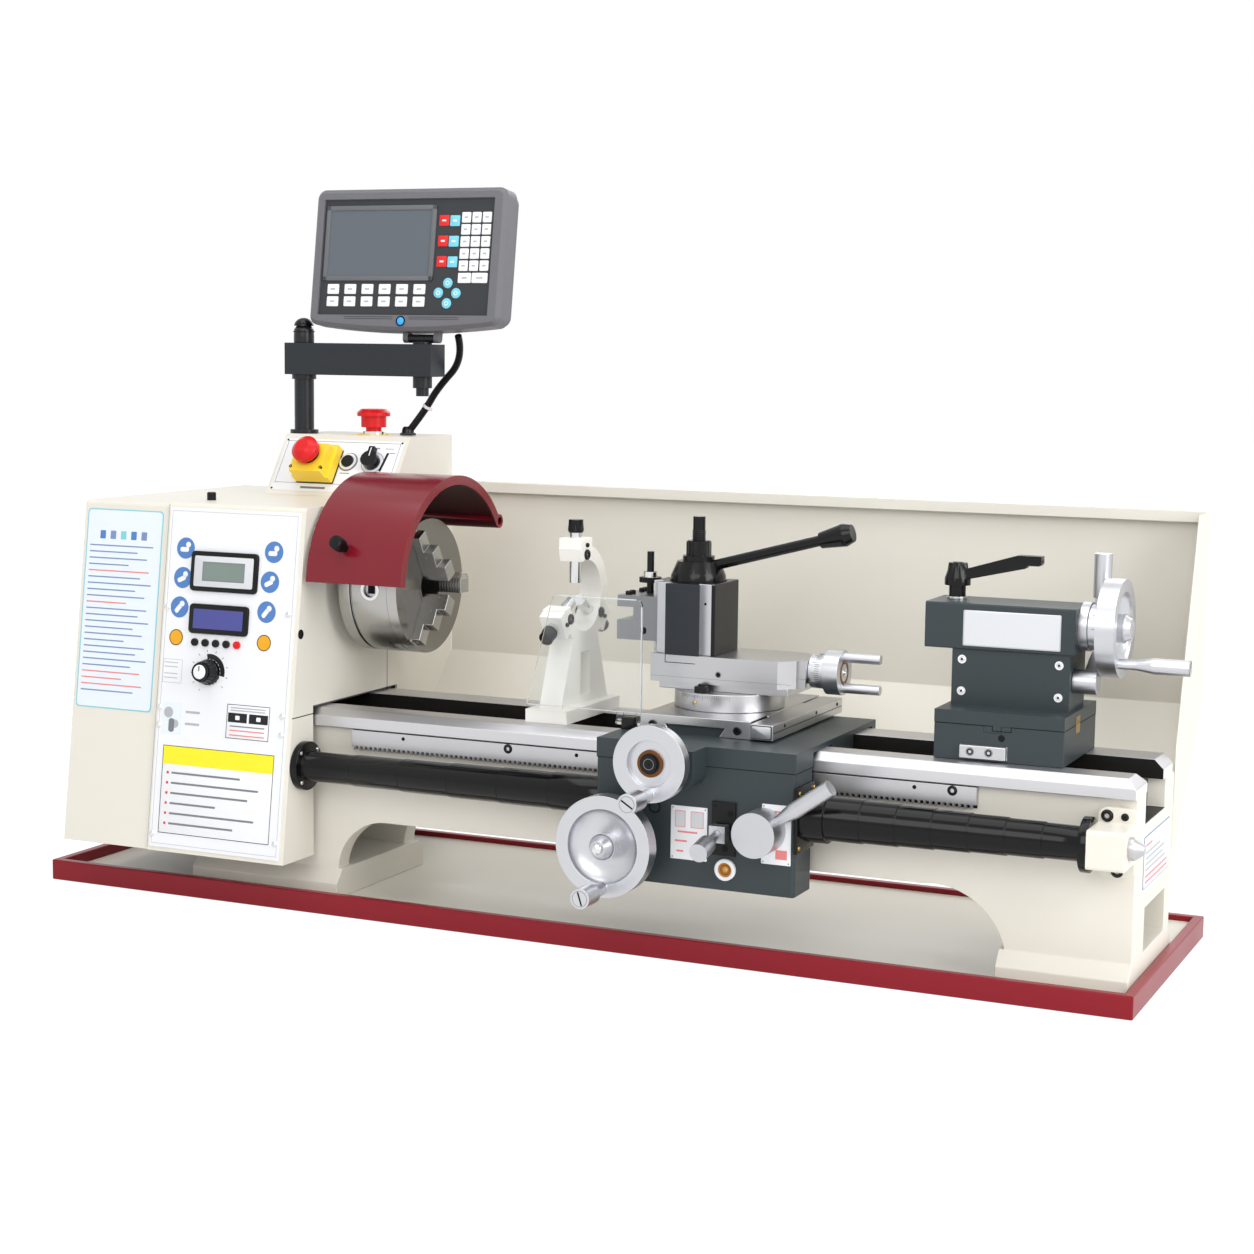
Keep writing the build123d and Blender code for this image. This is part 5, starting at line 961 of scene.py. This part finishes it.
# %% Cable in two parts
tube, followed = tube_along("cable", CABLE_ROUTE, CABLE_RADIUS)
split = next(place for place in range(len(followed)) if length_of(followed[:place + 1]) > UPPER_LENGTH * MM)
along = followed[split + 1] - followed[split - 1]
spot = len(followed) * 3 // 4
tie = Kit(facing(followed[spot] / MM, followed[spot + 1] - followed[spot - 1], TO_RIGHT))
tie.lathe(0, 0, [(4.4, -1.8), (5.3, -1.8), (5.5, 0), (5.3, 1.8), (4.4, 1.8), (4.4, -1.8)], white_foil)
tie.plate((-2.2, 2.2), (4.6, 7.2), -2.2, 2.2, white_foil, edge=0.4)
tie_piece = tie.piece("cord_tie", None, "white_panel")
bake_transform(tie_piece)
CABLE_PARTS = (("readout_cord_top", followed[:split + 1], along, "readout_arm", "readout_stem", []),
               ("readout_cord", followed[split:], -along, "frame", "readout_arm", [tie_piece]))
for name, points, way, fixed, moving, riders in CABLE_PARTS:
    cable = add_piece(name, part_before(tube, followed[split], way), [rubber])
    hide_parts("readout_cable")
    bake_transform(cable)
    print(name, "length", round(length_of(points) / MM), "mm")
tube.free()
gland = Kit(top_at(-33, 172, 546))
gland.puck(0, 0, 10, 0, 3.2, black_plastic, edge=0.5, steps=6)
gland.lathe(0, 0, [(4.6, 0), (8, 3), (7.4, 8), (5.6, 11), (4.6, 11)], black_plastic)
gland.piece("cord_gland", "frame", "black_plastic")

# %% [markdown]
# A scroll chuck shows its work: the jaws have teeth on the faces that grip, three key holes have a collar
# and a square socket, and a fine line marks the joint with the back plate.

# %% Chuck


def right_at(x, y=0, z=0):
    """An upright place that looks to the right."""
    return facing((x, y, z), TO_RIGHT, UP)


def radial_place(x, angle, reach, outward=1):
    """A flat place that looks away from the spindle's axis, or towards it, with its v along the axis."""
    y, z = around(1, angle)
    return facing((x, reach * y, AXIS_Z + reach * z), (0, outward * y, outward * z), TO_RIGHT)


chuck = Kit(right_at(36, 0, AXIS_Z))
chuck.ring(0, 0, 79, 80.1, -0.2, 0.2, joints_and_painted_shade, 96)
chuck.ring(0, 0, 79, 80.12, 46.7, 47.1, dark_steel, 96)
chuck.ring(0, 0, 22, 24.5, 59.6, 60.5, chuck_steel, 60)
for angle in (60, 180, 300):
    chuck.at = radial_place(61.2, angle, 80)
    chuck.ring(0, 0, 8.9, 12.2, -1.4, 0.6, bright_steel)
    chuck.puck(0, 0, 8.8, -4.5, -3.6, aluminium)
    # Painted shade: a dark square stands in for the shade inside each key's square socket.
    chuck.puck(0, 0, 6.6, -3.6, -3.4, joints_and_painted_shade, steps=4, turn=45)
chuck.piece("chuck_collars", "spindle", "ground_steel")
for number in (1, 2, 3):
    teeth = Kit(radial_place(0, 120 * number, 14, -1))
    for row in range(8):
        teeth.plate((-7.6, 7.6), (100 + 3.6 * row, 101.9 + 3.6 * row), -0.2, 0.9, chuck_steel, edge=0.35)
    for reach, rows in ((34, (121, 124.4, 127.8)), (54, (109, 112.4, 115.8))):
        teeth.at = radial_place(0, 120 * number, reach)
        for row in rows:
            teeth.plate((-7.6, 7.6), (row - 0.9, row + 0.9), -0.2, 0.8, chuck_steel, edge=0.3)
    teeth.piece(f"jaw_teeth_{number}", f"jaw_{number}", "ground_steel")

# %% Casing side
casing = Kit(right_at(0))
casing.ring(-133, 327, 4.2, 5.6, 0, 0.5, black_plastic, 24)
# Painted shade: a dark disc stands in for the shade inside the plug's hole.
casing.puck(-133, 327, 4.2, 0, 0.2, joints_and_painted_shade, steps=20)
for u, v in (((63, 64.2), (237, 377)), ((-151, -104), (230, 231.2))):
    casing.plate(u, v, -0.95, -0.1, joints_and_painted_shade)
casing.piece("casing_plug", "frame")

# %% [markdown]
# The back and the left end are plain sheet on such machines, so they are read by their service panel, air
# slots and screws. Each air slot is a dark plate of painted shade in the slit, under a small pressed lip.

# %% Back and left end


def louvres(kit, u, low, count, step, face):
    """A stack of air slots, each a dark plate of painted shade under a pressed lip."""
    for row in range(count):
        v = low + step * row
        # Painted shade: the dark plate stands in for the shade inside the slit.
        kit.plate(u, (v, v + 2.6), face - 0.4, face + 0.1, joints_and_painted_shade, corner=1)
        kit.plate((u[0] - 1, u[1] + 1), (v + 2.2, v + 4.4), face - 0.4, face + 1.6, cream, corner=1, edge=0.6)


rear = Kit(facing((0, 228, 0), TO_BACK, UP))
rear.plate((20, 172), (96, 440), -0.5, 1.2, cream, corner=5, edge=0.4)
for u, v in product((27, 96, 165), (103, 268, 433)):
    rear.dome_screw(u, v, 3.4, 1.2, bright_steel)
for low in (330, 130):
    louvres(rear, (52, 140), low, 9, 9, 1.2)
for u in (-250, -500, -750):
    rear.plate((u - 14, u + 14), (274, 478), -0.5, 1.6, cream, corner=6, edge=0.8)
    for v in (284, 376, 468):
        rear.dome_screw(u, v, 3.2, 1.6, bright_steel)
rear.piece("rear_panel", "frame", "cream_paint")
left_end = Kit(facing((-314, 0, 0), TO_LEFT, UP))
louvres(left_end, (-150, -40), 120, 8, 9, 0)
for u, v in ((-205, 84), (140, 84), (-205, 440), (98, 440)):
    left_end.dome_screw(u, v, 3.6, -0.2, bright_steel)
left_end.puck(-30, 300, 11, -0.3, 1.6, black_oxide, edge=0.4)
left_end.flutes(-30, 300, 13.5, 1.8, 8, 1.6, 12, black_plastic, 0.92)
left_end.piece("left_end_trim", "frame", "cream_paint")

# %% Guard knob
guard = Kit(radial_place(0, 157, 141))
guard.lathe(0, 53, [(0, 14.6), (5, 14.5), (7.6, 13.6), (8.3, 12), (8.3, 2), (7.4, 1), (0, 1)], black_plastic)
guard.piece("guard_knob_cap", "guard", "black_plastic")

# %% [markdown]
# The lead screw is hidden by two black sleeves that shorten on one side as the carriage moves, and lengthen
# on the other. Here each sleeve is a rounded copy of its CAD solid that stays in place.

# %% Lead screw sleeves
left_sleeve = dress("screw_cover_left", sleeve_black, 0.6, ride=False)
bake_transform(left_sleeve)
right_sleeve = dress("screw_cover_right", sleeve_black, 0.6, ride=False)
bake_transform(right_sleeve)
print("sleeves", len(left_sleeve.data.polygons) + len(right_sleeve.data.polygons), "faces")

# %% Sleeve screws, bracket screws and rack screws


def front_at(y, x=0, z=0):
    """An upright place that looks to the front."""
    return facing((x, y, z), TO_FRONT, UP)


ends = Kit(right_at(9, -130, 173))
for angle in (45, 135, 225, 315):
    ends.cap_screw(*around(24.4, angle), 2.4, -0.5, 1.2, bright_steel)
ends.at = front_at(-107)
# Painted shade: dark rings round the screw heads stand in for the shade in their counterbores.
for u, v, radius in ((937, 199.5, 5.4), (949, 143.2, 5.4), (955, 199.5, 3.0)):
    ends.ring(u, v, radius, radius + 1.0, 0, 0.3, joints_and_painted_shade, 24)
    ends.cap_screw(u, v, radius, -0.5, 2.2, black_oxide)
ends.at = front_at(-103)
# Painted shade: dark discs stand in for the shade inside the rack's holes.
for u in (119, 341, 560, 733):
    ends.puck(u, 209.5, 2.2, 0, 0.15, joints_and_painted_shade, steps=20)
# Painted shade: dark rings round the rack screws stand in for the shade in their counterbores.
for u in (255, 480, 774):
    ends.ring(u, 209.5, 4.4, 5.4, 0, 0.2, joints_and_painted_shade, 24)
    ends.cap_screw(u, 209.5, 4.4, -0.5, 1.0, black_oxide)
ends.at = front_at(-95)
# Painted shade: a dark strip on the bed wall behind the rack stands in for the shade between its teeth.
ends.plate((51, 799), (191.7, 196.2), 0, 0.5, joints_and_painted_shade)
ends.piece("frame_screws", "frame", "black_steel")
cup = Kit(right_at(626.3, -130, 173))
for v, u in product((29, -29), (-29, 14)):
    cup.cap_screw(u, v, 2.6, -0.3, 1.6, brass)
cup.piece("sleeve_screws", "carriage", "ground_steel")

# %% Plate on the bed's end
end_plate = Kit(right_at(965))
end_plate.plate((-58, 68), (115, 170), 0, 0.5, soft_ink, corner=2)
end_plate.plate((-57, 67), (116, 169), 0.5, 0.65, pale_ink, corner=1.5)
for v, length, tone in ((160, 30, rose_ink), (152, 70, grey_ink), (146, 92, grey_ink), (140, 84, grey_ink),
                        (134, 96, grey_ink), (127, 108, rose_ink), (121, 108, rose_ink)):
    end_plate.plate((-50, -50 + length), (v - 1.2, v + 1.2), 0.65, 0.72, tone)
for u, v in product((-54, 64), (119, 166)):
    end_plate.dome_screw(u, v, 1.6, 0.65, bright_steel)
end_plate.piece("bed_end_plate", "frame")

# %% [markdown]
# The apron is the dark front of the carriage. It has two small white plates, an oil sight in a white ring,
# a black slot plate for the feed lever, and a fine joint where it meets the saddle.

# %% Apron
SIGHT = (545, 113)
apron = Kit(front_at(-159))
for u, v in (((481, 523), (119, 177)), ((585, 618), (124, 188))):
    apron.plate(u, v, 0, 0.7, white_foil, corner=1, edge=0.2)
    for across, upwards in product((u[0] + 2.2, u[1] - 2.2), (v[0] + 2.2, v[1] - 2.2)):
        apron.dome_screw(across, upwards, 0.9, 0.7, dark_steel)
for u in ((486, 498), (504, 519)):
    apron.plate(u, (154, 172), 0.7, 0.76, rose_ink, corner=1)
    apron.plate((u[0] + 0.7, u[1] - 0.7), (154.7, 171.3), 0.76, 0.8, bezel_ink, corner=1)
for u, v in (((489, 512), (148, 150)), ((486, 500), (138, 140)), ((488, 496), (127, 129)),
             ((514, 520), (122, 124)),
             ((601, 614), (130, 140)), ((590, 614), (180, 181.5))):
    apron.plate(u, v, 0.7, 0.78, rose_ink)
apron.plate((590, 612), (168, 176), 0.7, 0.78, grey_ink, corner=1)
apron.plate((392.8, 621.2), (221.4, 222.3), -0.3, 0.1, joints_and_painted_shade)
apron.ring(461.6, 173, 5.6, 6.8, 0, 0.4, black_oxide, 24)
# Painted shade: dark discs on the slot plate stand in for the shade inside its holes.
for u, v, radius in ((550.5, 174, 3.4), (545, 136, 3.4), (533, 181, 1.6), (533, 133, 1.6)):
    apron.puck(u, v, radius, 3.0, 3.15, joints_and_painted_shade, steps=20)
apron.lathe(*SIGHT, [(7.9, 2.0), (11.7, 2.0), (11.6, 4.0), (10.6, 4.8), (9.0, 4.8), (7.9, 4.0), (7.9, 2.0)],
            white_foil, 40)
apron.lathe(*SIGHT, [(0, 3.4), (1.4, 3.2), (2.6, 2.4), (3.0, 2.0), (0, 2.0)], brass, 24)
apron.ring(*SIGHT, 4.6, 5.6, 1.9, 2.2, bronze, 28)
apron.at = right_at(622)
apron.plate((-157, -108), (221.4, 222.3), -0.3, 0.1, joints_and_painted_shade)
apron.piece("apron_details", "carriage", "slate_paint")

# %% [markdown]
# Turned handwheels get their look from small steps: a nut in the hub, a screw slot in the end of each grip,
# and the fine lines of a dial behind the wheel.

# %% Handwheels


def grip_end(kit, at, turn):
    """The slotted screw in the flat end of a grip; its slot is a dark plate of painted shade."""
    kit.at = at
    kit.ring(0, 0, 8.1, 8.7, -0.1, 0.12, dark_steel, 32)
    kit.plate((-7.6, 7.6), (-0.9, 0.9), -0.1, 0.15, joints_and_painted_shade, turn=turn)


wheel = Kit(front_at(-218, 422, 134))
wheel.ring(0, 0, 6.6, 8.2, -0.2, 0.8, aluminium)
wheel.lathe(0, 0, [(0, 6.4), (2.8, 6.0), (5.0, 4.6), (6.0, 2.4), (6.0, 0), (0, 0)], bright_steel)
wheel.at = front_at(-207, 422, 134)
wheel.ring(0, 0, 14.4, 15.2, -0.5, 0.5, aluminium, 48)
grip_end(wheel, front_at(-261, 422, 89), -72)
wheel.piece("apron_wheel_trim", "apron_wheel", "satin_aluminium")
cross = Kit(front_at(-209, 482, 231))
cross.ticks(0, 0, 25.0, -11, -2, 60, black_ink)
cross.at = front_at(-223, 482, 231)
# Painted shade: a dark disc stands in for the shade in the centre hole.
cross.puck(0, 0, 1.4, 0, 0.2, joints_and_painted_shade, steps=12)
cross.ring(0, 0, 5.4, 6.0, 0, 0.15, dark_steel, 28)
cross.ring(0, 0, 8.8, 11.2, -3, -2.4, black_oxide, 40)
grip_end(cross, front_at(-277, 482, 198), -32)
cross.piece("cross_wheel_trim", "cross_wheel", "satin_aluminium")
small = Kit(right_at(597, 0, 309))
small.ticks(0, 0, 19.0, -12, -3, 50, black_ink)
small.ring(0, 0, 16.4, 18.7, 0.1, 1.9, joints_and_painted_shade, 48)
small.at = right_at(617, 0, 309)
small.ring(0, 0, 10, 13.5, -0.4, 0.6, bronze, 40)
small.puck(0, 0, 10, -0.4, 0.2, black_oxide, steps=40)
small.lathe(0, 0, [(0, 3.0), (3.2, 2.6), (4.6, 1.2), (4.6, 0), (0, 0)], bright_steel, 24)
small.piece("top_wheel_trim", "top_wheel", "satin_aluminium")

# %% Slides
slides = Kit(top_at(482, 0, 263))
slides.ticks(0, 0, 62.0, 12.5, 18, 31, line_ink, 0.4, 60, -126)
slides.puck(-13, -51, 8.2, 20, 27, black_oxide, edge=0.6, steps=6)
slides.lathe(-13, -51, [(0, 30), (3.4, 29.6), (4.0, 29), (4.0, 27), (0, 27)], black_oxide, 20)
slides.at = facing((464, -59.3, 272), (-18, -59.3, 0), UP)
slides.dome_screw(0, 0, 2.4, -0.2, brass)
slides.piece("compound_trim", "compound", "ground_steel")
cover = Kit(front_at(-45))
cover.ring(486, 303, 2.6, 3.6, 0, 0.15, dark_steel, 24)
# Painted shade: a dark disc stands in for the shade inside the hole.
cover.puck(486, 303, 2.6, 0, 0.12, joints_and_painted_shade, steps=20)
cover.plate((421.4, 422.2), (313.2, 322), -0.1, 0.12, joints_and_painted_shade)
cover.plate((421.4, 458), (312.8, 313.6), -0.1, 0.12, joints_and_painted_shade)
cover.plate((404.5, 571.5), (297.2, 297.6), -0.1, 0.08, dark_steel)
cover.at = facing((0, 45, 0), TO_BACK, UP)
for u in (-430, -468, -506, -544):
    cover.cap_screw(u, 303, 2.6, -0.2, 0.6, black_oxide)
cover.piece("top_slide_trim", "top_slide", "ground_steel")
table = Kit(front_at(-100))
for u in (432, 532):
    table.cap_screw(u, 252, 4.6, -0.5, 2.6, black_oxide)
table.at = front_at(-106)
# Painted shade: a dark plate under the small plate shows as a thin rim of shade round its edge.
table.plate((550.2, 573.8), (246.2, 260.8), 0, 0.6, joints_and_painted_shade, corner=2)
table.plate((550.8, 573.2), (246.8, 260.2), 0.6, 1.8, aluminium, corner=2, edge=0.5)
table.at = right_at(575)
table.plate((-104, 116), (252.6, 253.4), -0.1, 0.1, joints_and_painted_shade)
for u in (-70, 30, 100):
    table.cap_screw(u, 257, 2.2, -0.2, 0.6, black_oxide)
table.piece("cross_slide_trim", "cross_slide", "ground_steel")

# %% [markdown]
# A quick-change tool post holds a small block by a dovetail. The block's height is set by a knurled disc on
# a stud, and four set screws hold the tool in its slot.

# %% Tool post and holder
holder = Kit(top_at(384, -3, 384))
holder.flutes(0, 0, 12.7, 0.8, 28, 13.2, 18.8, black_oxide)
for v in (-24, -13, 13, 23):
    holder.cap_screw(-16, v, 3.6, -0.5, 4.4, black_oxide)
holder.at = front_at(-33)
# Painted shade: a dark rounded plate stands in for the shade inside the slot.
holder.plate((386, 393), (341, 349), -0.1, 0.12, joints_and_painted_shade, corner=3)
holder.piece("holder_trim", "tool_holder", "black_steel")
post_trim = Kit(front_at(-38))
post_trim.plate((473.6, 478.2), (322.2, 401.6), -0.05, 0.15, black_oxide)
# Painted shade: a dark disc stands in for the shade inside a small hole.
post_trim.puck(466.5, 380, 1.5, -0.05, 0.15, joints_and_painted_shade, steps=16)
post_trim.at = top_at(443, -3, 402)
post_trim.ring(0, 0, 31.2, 32.4, -0.1, 0.3, joints_and_painted_shade, 60)
post_trim.piece("tool_post_trim", "top_slide", "black_steel")
lever = Kit(top_at(443, -3, 430))
lever.puck(0, 0, 14.2, 0.2, 16.4, black_oxide, edge=0.8, steps=6)
lever.lathe(0, 0, [(7.2 if height % 2 else 7.6, height) for height in range(17, 30)], black_oxide, 24)
lever.piece("tool_lever_trim", "tool_lever", "black_steel")

# %% Chip shield
shield = Kit(front_at(-95.5))
# Painted highlight: light grey strips on the clear sheet's cut edges stand in for the light that those edges
# catch.
painted_edge_highlight = ink("shield_painted_edge_highlight", (218, 222, 224))
for u, v in (((414.3, 415.2), (262, 379)), ((313, 407.6), (386.1, 386.9)), ((276, 415), (261.2, 262.0))):
    shield.plate(u, v, -2.9, 0.05, painted_edge_highlight)
shield.piece("shield_painted_edge_highlights", "shield", "clear_sheet")

# %% [markdown]
# The tailstock is a dark casting in two halves. It has a pale plate, screws in light washers, a steel
# strip, and a line where the halves are set over. Its wheel has a dial and a nut, as the other wheels do.

# %% Tailstock
tail = Kit(front_at(-33))
for u, v in product((760, 864.5), (338, 304)):
    tail.ring(u, v, 2.9, 4.6, -0.1, 0.7, white_foil, 28)
    tail.cap_screw(u, v, 2.9, -0.5, 0.9, bright_steel)
tail.at = front_at(-36)
tail.plate((761, 866), (353, 391), 0, 0.6, aluminium, corner=1.5, edge=0.15)
tail.plate((762.4, 864.6), (354.4, 389.6), 0.6, 0.7, silver_foil, corner=1.2)
tail.at = front_at(-77)
for u in (784, 804):
    tail.ring(u, 247.3, 3.6, 4.6, -0.1, 0.15, dark_steel, 24)
    tail.cap_screw(u, 247.3, 3.6, -0.5, 0.4, black_oxide)
tail.at = front_at(-72)
for u, v in (((743.6, 806.4), (274.6, 275.5)), ((825.6, 881.4), (274.6, 275.5)),
             ((805.6, 826.4), (269.6, 270.5)),
             ((805.55, 806.45), (269.6, 275.5)), ((825.55, 826.45), (269.6, 275.5))):
    tail.plate(u, v, -0.3, 0.12, joints_and_painted_shade)
tail.ring(816, 263, 2.8, 3.8, -0.1, 0.15, black_oxide, 24)
# Painted shade: a dark disc stands in for the shade inside the hole in the ring.
tail.puck(816, 263, 2.8, -0.1, 0.12, joints_and_painted_shade, steps=20)
tail.at = right_at(882)
tail.plate((-71, 65), (274.6, 275.5), -0.3, 0.12, joints_and_painted_shade)
tail.plate((-24, -7), (266, 284), 0, 0.5, brass, corner=1)
for number in range(9):
    u, high = -22.2 + 1.8 * number, 279 if number % 4 else 281.5
    tail.plate((u, u + 0.3), (275.5, high), 0.5, 0.55, black_ink)
tail.piece("tailstock_details", "tailstock", "slate_paint")

# %% Tailstock wheel and lock lever
tail_wheel = Kit(right_at(904, 0, AXIS_Z))
tail_wheel.ticks(0, 0, 24.0, -9.5, -1.5, 50, black_ink)
tail_wheel.at = right_at(924, 0, AXIS_Z)
tail_wheel.ring(0, 0, 13.6, 15.8, -0.5, 1.4, aluminium, 48)
grip_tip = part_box("tailstock_handwheel")[1][0] / MM
grip_end(tail_wheel, right_at(grip_tip, -25, 343), 60)
tail_wheel.piece("tail_wheel_trim", "tail_wheel", "satin_aluminium")
lock = Kit(front_at(0, 743, 424))
lock.plate((4, 76), (2.6, 14.2), -6, 6, black_plastic, corner=3, edge=1.6, turn=13)
lock.plate((66, 92), (13.6, 24), -6.4, 6.4, black_plastic, corner=4, edge=1.8)
lock.at = top_at(743, 0, 435)
lock.flutes(0, 0, 11.8, 1.5, 12, -9, 2.2, black_plastic, 0.84)
lock.puck(0, 0, 5.5, 2.2, 3.0, black_oxide, edge=0.4)
lock.piece("quill_lock_trim", BODY_OF["quill_lock_lever"], "black_plastic")

# %% [markdown]
# The steady rest is a white casting whose three fingers are set by black knobs and locked by screws in its
# bosses.

# %% Steady rest
FINGERS = ((1, 90), (2, 210), (3, 330))
steady = Kit(right_at(302, 0, AXIS_Z))
for number, angle in FINGERS:
    for reach, radius in ((47, 6.2), (58, 2.6)):
        steady.cap_screw(*around(reach, angle), radius, -0.5, 2.6, black_oxide)
steady.at = facing((274, 0, AXIS_Z), TO_LEFT, UP)
for number, angle in FINGERS:
    steady.cap_screw(*around(47, 180 - angle), 6.2, -0.5, 2.6, black_oxide)
steady.piece("steady_screws", "steady", "black_steel")
for number, angle in FINGERS:
    knob = Kit(radial_place(288, angle, 72))
    knob.flutes(0, 0, 9.2, 0.7, 18, 2, 14.2, black_plastic, 0.9)
    knob.piece(f"finger_knob_{number}", f"finger_{number}", "black_plastic")
